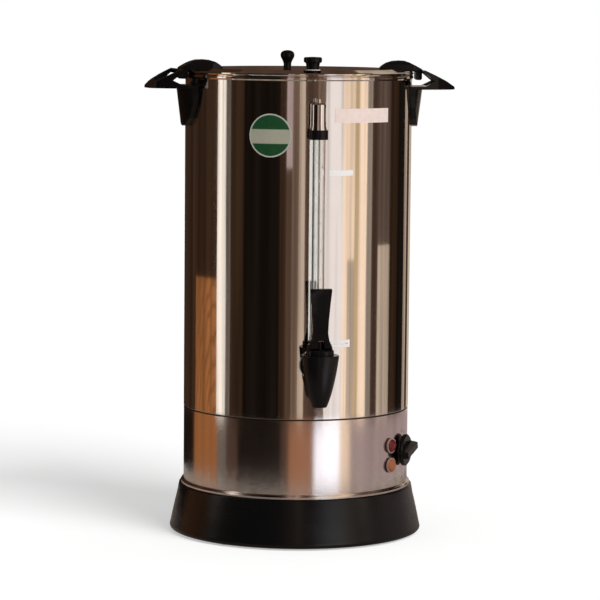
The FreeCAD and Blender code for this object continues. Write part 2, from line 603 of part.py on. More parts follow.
# Lid
def lid_profile(top_only=False):
    top = [(0, PLATEAU_Z), (PLATEAU_R, PLATEAU_Z)]
    top += beside(BODY_R, RIM_Z, [(-8.0, 3.2), (-3.0, 2.9), (-0.4, 3.4)])
    top += beside(BODY_R, RIM_Z, [(1.2, 2.7), (1.6, 1.6), (1.0, 0.6), (0.2, 0.0)])
    if top_only:
        return top + [(0, RIM_Z)]
    under = beside(BODY_R, RIM_Z, [(-1.6, 0.0), (-1.6, -10.6), (-2.4, -10.6), (-2.4, 2.1), (-8.2, 2.4)])
    return top + under + [(PLATEAU_R - 0.3, PLATEAU_Z - SHEET), (0, PLATEAU_Z - SHEET)]


def lid_pan():
    pan = turned(lid_profile())
    pan = pan.cut(disc(5.4, 0, TALL, 0, FILLER_Y)).cut(disc(1.8, 0, TALL, 0, LIFT_KNOB_Y))
    for side in (-1, 1):
        pan = pan.cut(at_azimuth(disc(1.8, 0, TALL, LUG_SCREW_R, 0), side * HANDLE_AZ))
    return pan


def lid_lug():
    rise = [(-35.0, 3.4), (-34.4, 5.2), (-31.0, 8.8), (-26.0, 12.0), (-20.0, 14.0), (-14.0, 14.6)]
    fall = [(-8.0, 14.3), (-3.0, 12.6), (3.0, 9.6), (9.2, 6.4), (9.9, 5.2), (9.9, -3.6)]
    hook = [(8.6, -5.0), (4.2, -5.0), (3.0, -3.6), (3.0, 3.4)]
    lug = prism(beside(BODY_R, RIM_Z, rise + fall + hook), "y", -11, 11)
    half = beside(BODY_R, 0, [(-36.0, 7.0), (-31.0, 10.0), (-23.0, 11.0)])
    half += beside(BODY_R, 0, [(1.0, 11.0), (7.0, 9.6), (10.2, 6.4)])
    plan = half + [(x, -y) for x, y in reversed(half)]
    lug = lug.common(prism(plan, "z", RIM_Z - 20, RIM_Z + 30))
    crown = Part.makeCylinder(16.0, 60.0, V(BODY_R - 40.0, 0, RIM_Z - 1.0), V(1, 0, 0))
    lug = lug.common(crown).cut(turned(lid_profile(True)))
    lug = lug.cut(disc(1.5, RIM_Z - 6.6, RIM_Z + 10.4, LUG_SCREW_R, 0))
    return lug


def lug_screws():
    shape = screw(3.6, 1.8, 1.5, 5.2).rotated(V(0, 0, 0), V(1, 0, 0), 180)
    placed = shape.translated(V(LUG_SCREW_R, 0, PLATEAU_Z - SHEET))
    return [at_azimuth(placed, side * HANDLE_AZ) for side in (-1, 1)]


def lid_knob():
    z = PLATEAU_Z
    knob = turned_curve([(4.2, z), (4.1, z + 3.0), (5.2, z + 6.2), (6.9, z + 9.6), (7.3, z + 12.0),
                         (6.2, z + 14.8), (3.2, z + 16.4), (0, z + 16.8)], [(0, z)], 0, LIFT_KNOB_Y)
    return knob.cut(disc(1.5, z - 1, z + 8.0, 0, LIFT_KNOB_Y))


def lid_knob_screw():
    shape = screw(3.6, 1.8, 1.5, 7.0).rotated(V(0, 0, 0), V(1, 0, 0), 180)
    return shape.translated(V(0, LIFT_KNOB_Y, PLATEAU_Z - SHEET))


def filler_cap():
    z = PLATEAU_Z
    cap = turned_curve([(6.4, z + 0.8), (6.5, z + 4.0), (7.2, z + 7.2)],
                       [(8.6, z + 7.8), (9.0, z + 8.6), (9.0, z + 11.8), (8.2, z + 12.8), (0, z + 13.2),
                        (0, z - 6.0), (4.2, z - 6.0), (4.8, z - 5.0), (4.8, z + 0.8)], 0, FILLER_Y)
    return cap.cut(disc(2.6, z - 7, z + 3, 0, FILLER_Y))


def filler_seal():
    return ring(7.4, 4.8, PLATEAU_Z, PLATEAU_Z + 0.8, 0, FILLER_Y)


# Flat trim on the tank wall
def badge():
    thin = ring(BODY_R + 0.25, BODY_R, SEAM_Z, RIM_Z)
    return thin.common(on_wall(disc(21.4, BODY_R - 15, BODY_R + 15), -22.6, RIM_Z - 57.6))


def blank_strip():
    thin = ring(BODY_R + 0.2, BODY_R, SEAM_Z, RIM_Z)
    return thin.common(on_wall(block(-32.0, 32.0, -7.0, 7.0, BODY_R / 2, BODY_R + 15), 25.5, RIM_Z - 38.0))


def build():
    export("base_skirt", base_skirt())
    export("base_plate", base_plate())
    export("base_feet", around(base_foot(), 4, 45.0))
    export("base_screws", around(base_screw(), 4, 45.0))
    export("lower_housing", lower_housing())
    export("housing_screws", around(housing_screw(), 3, 90.0))
    export("tank", tank())
    export("heat_plate", heat_plate())
    export("heating_element", heating_element())
    export("heater_clamp", heater_clamp())
    export("heater_stud", heater_stud())
    export("thermal_cutout", thermal_cutout())
    export("thermostat_body", thermostat_body())
    export("thermostat_nut", thermostat_nut())
    export("thermostat_shaft", thermostat_shaft())
    export("thermostat_knob", thermostat_knob())
    export("lamp_bodies", [lamp_body(z) for z in LAMP_ZS])
    export("red_lens", lamp_lens(LAMP_ZS[0]))
    export("amber_lens", lamp_lens(LAMP_ZS[1]))
    export("inlet_socket", inlet_socket())
    export("inlet_screws", inlet_screws())
    export("terminal_block", terminal_block())
    export("tap_body", tap_body())
    export("tap_outer_seal", tap_outer_seal())
    export("tap_inner_seal", tap_inner_seal())
    export("tap_locknut", tap_locknut())
    export("seat_cup", seat_cup())
    export("tap_stem", tap_stem())
    export("tap_spring", tap_spring())
    export("tap_bonnet", tap_bonnet())
    export("tap_lever", tap_lever())
    export("lever_pin", lever_pin())
    export("gauge_tube", gauge_tube())
    export("gauge_seal", gauge_seal())
    export("gauge_nut", gauge_nut())
    export("gauge_holder", gauge_holder())
    export("holder_screw", holder_screw())
    export("gauge_cap", gauge_cap())
    export("left_handle", at_azimuth(handle(), -HANDLE_AZ))
    export("right_handle", at_azimuth(handle(), HANDLE_AZ))
    export("handle_bolts", handle_bolts())
    export("handle_washers", handle_washers())
    export("lid_pan", lid_pan())
    export("left_lug", at_azimuth(lid_lug(), -HANDLE_AZ))
    export("right_lug", at_azimuth(lid_lug(), HANDLE_AZ))
    export("lug_screws", lug_screws())
    export("lid_knob", lid_knob())
    export("lid_knob_screw", lid_knob_screw())
    export("filler_cap", filler_cap())
    export("filler_seal", filler_seal())
    export("badge", badge())
    export("blank_strip", blank_strip())


build()
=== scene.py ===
# %% [markdown]
# Hot water urn. The solids come from the CAD model and stay as they are. This script gives every
# surface its finish, adds the printed marks and the droplets in the sight tube, and sets up a
# small product studio round it. Lengths are in metres and the tap points to -Y. The origin is
# under the middle of the whole urn, tap included, so the round tank stands a little behind it,
# and the middle of the tank's own box gives its axis. What is printed on the wall, and what is
# turned or bent to follow it, is placed from this axis and the tank's radius.

# %% Load the frame
import math
import bpy
import bmesh
from mathutils import Matrix, Vector


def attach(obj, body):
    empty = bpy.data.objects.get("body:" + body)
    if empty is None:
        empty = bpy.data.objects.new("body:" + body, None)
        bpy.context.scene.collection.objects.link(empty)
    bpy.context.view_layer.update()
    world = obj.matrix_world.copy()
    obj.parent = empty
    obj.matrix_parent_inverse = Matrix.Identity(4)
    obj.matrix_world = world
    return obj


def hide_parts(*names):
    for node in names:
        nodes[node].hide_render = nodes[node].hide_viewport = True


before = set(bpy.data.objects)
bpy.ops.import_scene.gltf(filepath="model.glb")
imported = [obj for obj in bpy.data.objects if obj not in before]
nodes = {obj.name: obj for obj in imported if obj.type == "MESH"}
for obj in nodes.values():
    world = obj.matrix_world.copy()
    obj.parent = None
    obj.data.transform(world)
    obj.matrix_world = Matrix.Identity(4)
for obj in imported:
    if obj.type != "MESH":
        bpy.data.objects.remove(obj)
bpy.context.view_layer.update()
tank_ends = [(nodes["tank"].matrix_world @ Vector(corner)).y for corner in nodes["tank"].bound_box]
AXIS_Y = (min(tank_ends) + max(tank_ends)) / 2
AXIS = Vector((0.0, AXIS_Y, 0.0))
TANK_RADIUS = 0.115
SEAM_HEIGHT = 0.129

# %% [markdown]
# The camera. A long lens from about 2.9 m away keeps the tank's sides nearly parallel. The rim,
# the seam, the steel lip and the foot of the urn are circles on one axis, so the ellipses they
# make in the picture fix the rest: 0.54 m above the table, looking down 6 degrees, rolled by half
# a degree, and 8.8 degrees to the left of the tap. The camera is built looking along its own axes
# and then turned round the tank, which is simpler than aiming it at a point.

# %% Camera
CAMERA_AZIMUTH = math.radians(-8.8)
CAMERA_DISTANCE = 2.890
CAMERA_HEIGHT = 0.5384
CAMERA_PITCH = math.radians(5.975)
CAMERA_YAW = math.radians(0.067)
CAMERA_ROLL = math.radians(0.541)
FOCAL_PIXELS = 2840.0
IMAGE_WIDTH = 600.0
SENSOR_WIDTH = 36.0


def place_camera():
    forward = Vector((math.sin(CAMERA_YAW) * math.cos(CAMERA_PITCH),
                      math.cos(CAMERA_YAW) * math.cos(CAMERA_PITCH),
                      -math.sin(CAMERA_PITCH)))
    right = Vector((math.cos(CAMERA_YAW), -math.sin(CAMERA_YAW), 0.0))
    up = right.cross(forward)
    tilted_right = right * math.cos(CAMERA_ROLL) + up * math.sin(CAMERA_ROLL)
    tilted_up = up * math.cos(CAMERA_ROLL) - right * math.sin(CAMERA_ROLL)
    axes = Matrix((tilted_right, tilted_up, -forward)).transposed().to_4x4()
    data = bpy.data.cameras.new("camera")
    data.sensor_width = SENSOR_WIDTH
    data.lens = FOCAL_PIXELS / IMAGE_WIDTH * SENSOR_WIDTH
    data.clip_end = 50.0
    camera = bpy.data.objects.new("camera", data)
    bpy.context.scene.collection.objects.link(camera)
    turned = Matrix.Translation(AXIS) @ Matrix.Rotation(CAMERA_AZIMUTH, 4, "Z")
    camera.matrix_world = turned @ Matrix.Translation((0, -CAMERA_DISTANCE, CAMERA_HEIGHT)) @ axes
    bpy.context.scene.camera = camera
    return camera


camera = place_camera()
print("camera at", tuple(round(v, 3) for v in camera.matrix_world.translation))

# %% [markdown]
# Node trees could be drawn by hand, but in a script they read best when each node is one line.
# `add` makes a node, sets its options and feeds its inputs, each from another node or with a
# plain value. `ramp` turns one range of values into another. `paint` starts a material with one
# Principled shader and hands out Object coordinates, which stay with a piece when it moves.

# %% Node helpers
def feed(tree, socket, value):
    """Joins an output to a socket, or sets the socket to a plain value."""
    if isinstance(value, bpy.types.NodeSocket):
        tree.links.new(value, socket)
    else:
        socket.default_value = value


def add(tree, kind, options=None, **inputs):
    """Makes a node. An input is named by its label, or i0, i1 and so on by its place."""
    node = tree.nodes.new(kind)
    for key, value in (options or {}).items():
        setattr(node, key, value)
    for key, value in inputs.items():
        by_place = key[0] == "i" and key[1:].isdigit()
        feed(tree, node.inputs[int(key[1:]) if by_place else key.replace("_", " ")], value)
    return node


def math_node(tree, operation, a, b=0.0, clamp=False):
    return add(tree, "ShaderNodeMath", {"operation": operation, "use_clamp": clamp}, i0=a, i1=b).outputs[0]


def mix_colour(tree, factor, a, b):
    node = tree.nodes.new("ShaderNodeMix")
    node.data_type = "RGBA"
    for place, value in ((0, factor), (6, a), (7, b)):
        feed(tree, node.inputs[place], value)
    return node.outputs[2]


def ramp(tree, value, low, high, out_low=0.0, out_high=1.0):
    return add(tree, "ShaderNodeMapRange", {"clamp": True}, Value=value, From_Min=low, From_Max=high,
               To_Min=out_low, To_Max=out_high).outputs[0]


def paint(name, **sockets):
    material = bpy.data.materials.new(name)
    material.use_nodes = True
    tree = material.node_tree
    tree.nodes.clear()
    shader = tree.nodes.new("ShaderNodeBsdfPrincipled")
    output = tree.nodes.new("ShaderNodeOutputMaterial")
    tree.links.new(shader.outputs[0], output.inputs[0])
    for key, value in sockets.items():
        shader.inputs[key.replace("_", " ")].default_value = value
    place = tree.nodes.new("ShaderNodeTexCoord").outputs["Object"]
    return material, tree, shader, place


print("node helpers ready")

# %% [markdown]
# Handling wear. A polished urn carries hairline scratches and the smudges of hands. Both are
# wanted on many finishes, so they are one node group with a scale, built once. Stretched noise
# gives the scratches where it crosses its middle value, and slow noise gives the smudges.

# %% Handling wear
def new_group(name, inputs, outputs):
    group = bpy.data.node_groups.new(name, "ShaderNodeTree")
    for label, kind, value in inputs:
        socket = group.interface.new_socket(label, in_out="INPUT", socket_type=kind)
        if value is not None:
            socket.default_value = value
    for label, kind in outputs:
        group.interface.new_socket(label, in_out="OUTPUT", socket_type=kind)
    return group, group.nodes.new("NodeGroupInput"), group.nodes.new("NodeGroupOutput")


def use_group(tree, group, **inputs):
    node = tree.nodes.new("ShaderNodeGroup")
    node.node_tree = group
    for key, value in inputs.items():
        feed(tree, node.inputs[key], value)
    return node


def build_wear_group():
    inputs = [("Vector", "NodeSocketVector", None), ("Scale", "NodeSocketFloat", 40.0)]
    group, entry, out = new_group("handling wear", inputs,
                                  [("Scratches", "NodeSocketFloat"), ("Smudges", "NodeSocketFloat")])
    stretched = add(group, "ShaderNodeMapping", None, Vector=entry.outputs["Vector"], Scale=(1.0, 1.0, 9.0))
    fine = add(group, "ShaderNodeTexNoise", None, Vector=stretched.outputs[0], Scale=entry.outputs["Scale"],
               Detail=6.0, Roughness=0.7)
    line = math_node(group, "ABSOLUTE", math_node(group, "SUBTRACT", fine.outputs[0], 0.5))
    group.links.new(ramp(group, line, 0.0, 0.012, 1.0, 0.0), out.inputs["Scratches"])
    slow_scale = math_node(group, "MULTIPLY", entry.outputs["Scale"], 0.28)
    slow = add(group, "ShaderNodeTexNoise", None, Vector=entry.outputs["Vector"], Scale=slow_scale,
               Detail=4.0, Roughness=0.55, Distortion=0.6)
    group.links.new(ramp(group, slow.outputs[0], 0.42, 0.68), out.inputs["Smudges"])
    return group


wear_group = build_wear_group()
print("group:", wear_group.name)

# %% [markdown]
# Brushed grain. The satin steel was brushed round the tank, so its grain is made of long lines
# that follow the wall. A picture of brushed metal would show its edges somewhere, and noise on
# the unrolled wall doesn't: the azimuth is one axis of the noise, and the height the other. A
# slow cloud goes with it, to vary the shine.

# %% Brushed grain
def build_grain_group():
    inputs = [("Vector", "NodeSocketVector", None), ("Length", "NodeSocketFloat", 12.0),
              ("Density", "NodeSocketFloat", 2600.0)]
    group, entry, out = new_group("brushed grain", inputs,
                                  [("Grain", "NodeSocketFloat"), ("Cloud", "NodeSocketFloat")])
    part = add(group, "ShaderNodeSeparateXYZ", None, Vector=entry.outputs["Vector"])
    front = math_node(group, "SUBTRACT", AXIS_Y, part.outputs[1])
    turn = math_node(group, "ARCTAN2", part.outputs[0], front)
    around = math_node(group, "MULTIPLY", turn, entry.outputs["Length"])
    up = math_node(group, "MULTIPLY", part.outputs[2], entry.outputs["Density"])
    unrolled = add(group, "ShaderNodeCombineXYZ", None, X=around, Y=up, Z=0.0)
    grain = add(group, "ShaderNodeTexNoise", None, Vector=unrolled.outputs[0], Scale=1.0, Detail=3.0,
                Roughness=0.6)
    group.links.new(grain.outputs[0], out.inputs["Grain"])
    cloud = add(group, "ShaderNodeTexNoise", None, Vector=entry.outputs["Vector"], Scale=14.0, Detail=3.0)
    group.links.new(cloud.outputs[0], out.inputs["Cloud"])
    return group


grain_group = build_grain_group()
print("group:", grain_group.name)

# %% [markdown]
# Moulded skin. Black plastic that is perfectly smooth and clean looks like a hole in the picture.
# Real mouldings have a fine orange-peel skin and catch a few specks of dust, here fine noise for
# the first and the small cells of a Voronoi texture, in patches, for the second.

# %% Moulded skin
def build_skin_group():
    inputs = [("Vector", "NodeSocketVector", None), ("Scale", "NodeSocketFloat", 900.0)]
    group, entry, out = new_group("moulded skin", inputs,
                                  [("Height", "NodeSocketFloat"), ("Dust", "NodeSocketFloat")])
    peel = add(group, "ShaderNodeTexNoise", None, Vector=entry.outputs["Vector"],
               Scale=entry.outputs["Scale"], Detail=2.0)
    group.links.new(peel.outputs[0], out.inputs["Height"])
    specks = add(group, "ShaderNodeTexVoronoi", None, Vector=entry.outputs["Vector"], Scale=420.0)
    near = ramp(group, specks.outputs["Distance"], 0.04, 0.12, 1.0, 0.0)
    patches = add(group, "ShaderNodeTexNoise", None, Vector=entry.outputs["Vector"], Scale=26.0, Detail=3.0)
    dusty = ramp(group, patches.outputs[0], 0.5, 0.7)
    group.links.new(math_node(group, "MULTIPLY", near, dusty), out.inputs["Dust"])
    return group


skin_group = build_skin_group()
print("group:", skin_group.name)

# %% [markdown]
# Place on the wall. The level marks and the sticker's design are drawn on a round wall. A UV map
# could carry them, but here a plain distance is enough. This group turns Object coordinates into
# a distance across and up the wall from a given spot, and a design is then a few simple masks.

# %% Place on the wall
def build_wall_group():
    inputs = [("Vector", "NodeSocketVector", None), ("Azimuth", "NodeSocketFloat", 0.0),
              ("Height", "NodeSocketFloat", 0.3), ("Radius", "NodeSocketFloat", TANK_RADIUS)]
    group, entry, out = new_group("place on wall", inputs,
                                  [("Across", "NodeSocketFloat"), ("Up", "NodeSocketFloat")])
    part = add(group, "ShaderNodeSeparateXYZ", None, Vector=entry.outputs["Vector"])
    front = math_node(group, "SUBTRACT", AXIS_Y, part.outputs[1])
    turn = math_node(group, "ARCTAN2", part.outputs[0], front)
    away = math_node(group, "SUBTRACT", turn, entry.outputs["Azimuth"])
    group.links.new(math_node(group, "MULTIPLY", away, entry.outputs["Radius"]), out.inputs["Across"])
    group.links.new(math_node(group, "SUBTRACT", part.outputs[2], entry.outputs["Height"]), out.inputs["Up"])
    return group


wall_group = build_wall_group()
print("group:", wall_group.name)

# %% [markdown]
# Level marks. Two small pale marks are printed on the tank beside the sight tube. They have no
# thickness to model, so they are masks in the tank's own material. The upper one is a plain bar,
# and the lower one has a line of bare steel through its middle.

# %% Level marks
UPPER_MARK = {"azimuth": 13.2, "height": 0.3727, "half_width": 0.0124, "half_height": 0.0028}
LOWER_MARK = {"azimuth": 12.6, "height": 0.2042, "half_width": 0.0118, "half_height": 0.0036, "line": 0.0007}
LINE_INSET = 0.002
MARK_EDGE = 0.0002


def box_mask(tree, across, up, half_width, half_height):
    """1 inside a box on the wall and 0 outside it."""
    sides = []
    for distance, half in ((across, half_width), (up, half_height)):
        away = math_node(tree, "ABSOLUTE", distance)
        sides.append(ramp(tree, away, half - MARK_EDGE, half + MARK_EDGE, 1.0, 0.0))
    return math_node(tree, "MULTIPLY", sides[0], sides[1])


def level_mark(tree, place, azimuth, height, half_width, half_height, line=0.0):
    """1 on the ink of a mark. The azimuth is in degrees, and a line leaves a bare bar in the ink."""
    spot = use_group(tree, wall_group, Vector=place, Azimuth=math.radians(azimuth), Height=height)
    across, up = spot.outputs["Across"], spot.outputs["Up"]
    plate = box_mask(tree, across, up, half_width, half_height)
    if not line:
        return plate
    bar = box_mask(tree, across, up, half_width - LINE_INSET, line)
    return math_node(tree, "SUBTRACT", plate, bar, clamp=True)


print("level marks at:", UPPER_MARK["height"], LOWER_MARK["height"])

# %% [markdown]
# Polished steel. The tank and lid are nearly a mirror, warm in tone, with a slight ripple that
# makes long reflections waver. A bump map gives the ripple: it would take a very dense mesh to
# model it. The marks are paint, so they take away the metal as well as the shine, and the steel
# turns darker and rougher from just above the seam down.

# %% Polished steel
STEEL = (0.80, 0.755, 0.715, 1.0)
SMUDGED_STEEL = (0.70, 0.66, 0.63, 1.0)
MARK_INK = (0.86, 0.82, 0.80, 1.0)
# A darker tone for the steel from just above the seam down.
SEAM_DARK_BAND = (0.10, 0.075, 0.06, 1.0)


def mark_wall(tree, shader, place, tone, rough):
    """Lays the level marks, and a darker, rougher band from just above the seam down, over the steel's tone
    and roughness.
    """
    high = level_mark(tree, place, **UPPER_MARK)
    low = level_mark(tree, place, **LOWER_MARK)
    ink = math_node(tree, "ADD", high, low, clamp=True)
    tree.links.new(math_node(tree, "SUBTRACT", 1.0, ink), shader.inputs["Metallic"])
    height = add(tree, "ShaderNodeSeparateXYZ", None, Vector=place).outputs[2]
    # Darker and rougher steel from just above the seam down, fading out 0.4 mm above it.
    seam_band = ramp(tree, height, SEAM_HEIGHT - 0.0002, SEAM_HEIGHT + 0.0004, 1.0, 0.0)
    for mask, colour in ((ink, MARK_INK), (seam_band, SEAM_DARK_BAND)):
        tone = mix_colour(tree, mask, tone, colour)
        rough = math_node(tree, "ADD", rough, math_node(tree, "MULTIPLY", mask, 0.4))
    return tone, rough


def polished_steel(name, marks=False):
    material, tree, shader, place = paint(name, Metallic=1.0)
    wear = use_group(tree, wear_group, Vector=place, Scale=55.0)
    tone = mix_colour(tree, math_node(tree, "MULTIPLY", wear.outputs["Smudges"], 0.25), STEEL, SMUDGED_STEEL)
    rough = math_node(tree, "ADD", 0.055, math_node(tree, "MULTIPLY", wear.outputs["Smudges"], 0.03))
    rough = math_node(tree, "ADD", rough, math_node(tree, "MULTIPLY", wear.outputs["Scratches"], 0.05))
    tall = add(tree, "ShaderNodeMapping", None, Vector=place, Scale=(1.0, 1.0, 0.22))
    ripple = add(tree, "ShaderNodeTexNoise", None, Vector=tall.outputs[0], Scale=16.0, Detail=1.5,
                 Roughness=0.4)
    bump = add(tree, "ShaderNodeBump", None, Strength=0.09, Distance=0.004, Height=ripple.outputs[0])
    tree.links.new(bump.outputs[0], shader.inputs["Normal"])
    if marks:
        tone, rough = mark_wall(tree, shader, place, tone, rough)
    tree.links.new(tone, shader.inputs["Base Color"])
    tree.links.new(rough, shader.inputs["Roughness"])
    return material


tank_steel = polished_steel("polished tank steel", marks=True)
lid_steel = polished_steel("polished lid steel")
print("polished:", tank_steel.name, "and", lid_steel.name)

# %% [markdown]
# Satin steel. The lower housing is the same steel left satin, so the same surroundings melt into
# soft bands. The plated fasteners, the blackened tap stem and the heater's parts under the floor
# are this finish too, each with its own tint, roughness and depth of grain.

# %% Satin steel
def satin_steel(name, tint, roughness, strength):
    material, tree, shader, place = paint(name, Metallic=1.0)
    grain = use_group(tree, grain_group, Vector=place, Length=14.0, Density=2600.0)
    light = tuple(min(1.0, c * 1.08) for c in tint[:3]) + (1,)
    dark = tuple(c * 0.9 for c in tint[:3]) + (1,)
    tone = mix_colour(tree, grain.outputs["Grain"], dark, light)
    rough = math_node(tree, "ADD", roughness - 0.05, math_node(tree, "MULTIPLY", grain.outputs["Cloud"], 0.1))
    bump = add(tree, "ShaderNodeBump", None, Strength=strength, Distance=0.0002,
               Height=grain.outputs["Grain"])
    tree.links.new(tone, shader.inputs["Base Color"])
    tree.links.new(rough, shader.inputs["Roughness"])
    tree.links.new(bump.outputs[0], shader.inputs["Normal"])
    return material


housing_steel = satin_steel("satin housing steel", (0.80, 0.735, 0.69, 1), 0.14, 0.12)
plated_steel = satin_steel("zinc plated steel", (0.62, 0.63, 0.64, 1), 0.38, 0.12)
fastener_steel = satin_steel("plated fasteners", (0.72, 0.70, 0.67, 1), 0.3, 0.1)
dark_steel = satin_steel("blackened steel", (0.10, 0.09, 0.085, 1), 0.35, 0.1)
dark_sheath = satin_steel("oxidised element sheath", (0.16, 0.15, 0.15, 1), 0.5, 0.3)
cast_metal = satin_steel("cast heat plate", (0.62, 0.62, 0.64, 1), 0.55, 0.5)
print("satin finishes:", [m.name for m in (housing_steel, plated_steel, fastener_steel, cast_metal)])

# %% [markdown]
# Plastic and rubber. The base, handles, knobs and tap are black mouldings with a soft gloss. The
# lamps' lenses are tinted, the seals are milky silicone and the feet are matt rubber. One
# function makes them all, because a moulding differs from the next only in colour, gloss, dust
# and depth of skin.

# %% Plastic and rubber
def moulded(name, colour, roughness, dust=0.03, peel=0.06, **sockets):
    material, tree, shader, place = paint(name, **sockets)
    skin = use_group(tree, skin_group, Vector=place, Scale=700.0)
    wear = use_group(tree, wear_group, Vector=place, Scale=60.0)
    pale = tuple(min(1.0, c + dust) for c in colour[:3]) + (1,)
    tone = mix_colour(tree, skin.outputs["Dust"], colour, pale)
    rough = math_node(tree, "ADD", roughness, math_node(tree, "MULTIPLY", wear.outputs["Smudges"], 0.08))
    rough = math_node(tree, "ADD", rough, math_node(tree, "MULTIPLY", wear.outputs["Scratches"], 0.05))
    bump = add(tree, "ShaderNodeBump", None, Strength=peel, Distance=0.0003, Height=skin.outputs["Height"])
    tree.links.new(tone, shader.inputs["Base Color"])
    tree.links.new(rough, shader.inputs["Roughness"])
    tree.links.new(bump.outputs[0], shader.inputs["Normal"])
    return material


base_black = moulded("glossy black base", (0.004, 0.004, 0.004, 1), 0.22, 0.01, Specular_IOR_Level=0.3)
grip_black = moulded("glossy black handle", (0.004, 0.0035, 0.0035, 1), 0.2, 0.01, Specular_IOR_Level=0.25)
tap_black = moulded("black tap plastic", (0.005, 0.004, 0.0045, 1), 0.2, 0.01, Specular_IOR_Level=0.22)
inlet_black = moulded("matt black inlet", (0.02, 0.02, 0.02, 1), 0.5, 0.02, 0.2)
foot_rubber = moulded("black rubber", (0.018, 0.018, 0.018, 1), 0.75, 0.03, 0.3)
seal_silicone = moulded("milky silicone", (0.72, 0.69, 0.65, 1), 0.42, 0.05, 0.1)
cream_plastic = moulded("cream plastic", (0.70, 0.66, 0.56, 1), 0.4, 0.05, 0.15)
bezel_plastic = moulded("smoky lamp bezel", (0.30, 0.20, 0.18, 1), 0.22, 0.03)
red_plastic = moulded("red lamp lens", (0.13, 0.006, 0.010, 1), 0.12, 0.02, 0.03, Transmission_Weight=0.15)
amber_plastic = moulded("amber lamp lens", (0.36, 0.11, 0.035, 1), 0.12, 0.02, 0.03, Transmission_Weight=0.15)
print("mouldings:", [m.name for m in (base_black, grip_black, tap_black, red_plastic, amber_plastic)])

# %% [markdown]
# Glass and chrome. The sight tube is clear glass with a few smudges, and its cap is chromed. The
# glass keeps a plain metallic and transmission value, because a pattern there can't be baked.

# %% Glass and chrome
def clear_glass():
    material, tree, shader, place = paint("sight tube glass", IOR=1.47, Transmission_Weight=1.0)
    wear = use_group(tree, wear_group, Vector=place, Scale=90.0)
    tone = mix_colour(tree, wear.outputs["Smudges"], (0.97, 0.985, 0.98, 1), (0.9, 0.92, 0.91, 1))
    rough = math_node(tree, "ADD", 0.01, math_node(tree, "MULTIPLY", wear.outputs["Smudges"], 0.05))
    tree.links.new(tone, shader.inputs["Base Color"])
    tree.links.new(rough, shader.inputs["Roughness"])
    return material


def chrome_plate():
    material, tree, shader, place = paint("chrome plate", Metallic=1.0)
    wear = use_group(tree, wear_group, Vector=place, Scale=120.0)
    tone = mix_colour(tree, wear.outputs["Smudges"], (0.90, 0.88, 0.86, 1), (0.80, 0.78, 0.76, 1))
    rough = math_node(tree, "ADD", 0.06, math_node(tree, "MULTIPLY", wear.outputs["Scratches"], 0.08))
    tree.links.new(tone, shader.inputs["Base Color"])
    tree.links.new(rough, shader.inputs["Roughness"])
    return material


tube_glass = clear_glass()
cap_chrome = chrome_plate()
print("tube:", tube_glass.name, "cap:", cap_chrome.name)

# %% [markdown]
# Film. The round sticker is green with a pale rim and a pale band across its middle, and it
# carries nothing else. The strip beside the gauge is plain film. Both are thin solids on the
# tank, so the sticker's design is drawn by distance across and up the wall from its middle.

# %% Printed film
BADGE_AZIMUTH = math.radians(-22.6)
BADGE_HEIGHT = 0.409
BADGE_RIM = 0.0198
RIM_FADE = 0.0005
BAND_DROP = 0.001
BAND_HALF = 0.0066
BAND_FADE = 0.0008


def badge_film():
    material, tree, shader, place = paint("round film sticker", Coat_Weight=0.35, Coat_Roughness=0.12)
    spot = use_group(tree, wall_group, Vector=place, Azimuth=BADGE_AZIMUTH, Height=BADGE_HEIGHT)
    across, up = spot.outputs["Across"], spot.outputs["Up"]
    squares = [math_node(tree, "MULTIPLY", distance, distance) for distance in (across, up)]
    reach = math_node(tree, "SQRT", math_node(tree, "ADD", *squares))
    fibre = add(tree, "ShaderNodeTexNoise", None, Vector=place, Scale=260.0, Detail=3.0)
    green = mix_colour(tree, fibre.outputs[0], (0.006, 0.052, 0.016, 1), (0.011, 0.085, 0.026, 1))
    cream = mix_colour(tree, fibre.outputs[0], (0.34, 0.33, 0.24, 1), (0.42, 0.40, 0.31, 1))
    from_band = math_node(tree, "ABSOLUTE", math_node(tree, "ADD", up, BAND_DROP))
    band = ramp(tree, from_band, BAND_HALF, BAND_HALF + BAND_FADE, 1.0, 0.0)
    field = mix_colour(tree, band, green, cream)
    rim = ramp(tree, reach, BADGE_RIM, BADGE_RIM + RIM_FADE)
    tree.links.new(mix_colour(tree, rim, field, (0.46, 0.47, 0.40, 1)), shader.inputs["Base Color"])
    tree.links.new(math_node(tree, "ADD", 0.3, math_node(tree, "MULTIPLY", fibre.outputs[0], 0.12)),
                   shader.inputs["Roughness"])
    return material


def plain_film():
    material, tree, shader, place = paint("plain film strip")
    fibre = add(tree, "ShaderNodeTexNoise", None, Vector=place, Scale=180.0, Detail=3.0)
    tone = mix_colour(tree, fibre.outputs[0], (0.78, 0.60, 0.54, 1), (0.90, 0.76, 0.70, 1))
    tree.links.new(tone, shader.inputs["Base Color"])
    tree.links.new(math_node(tree, "ADD", 0.3, math_node(tree, "MULTIPLY", fibre.outputs[0], 0.2)),
                   shader.inputs["Roughness"])
    return material


sticker_film = badge_film()
strip_film = plain_film()
print("film:", sticker_film.name, "and", strip_film.name)

# %% [markdown]
# Every CAD piece now gets its finish. The pieces keep the meshes and places that came from the
# CAD model, and only their material slots are filled, so what moves and fits stays as it was. One
# table of finishes shows at a glance which pieces share a finish, and the count at its end shows
# whether one was forgotten.

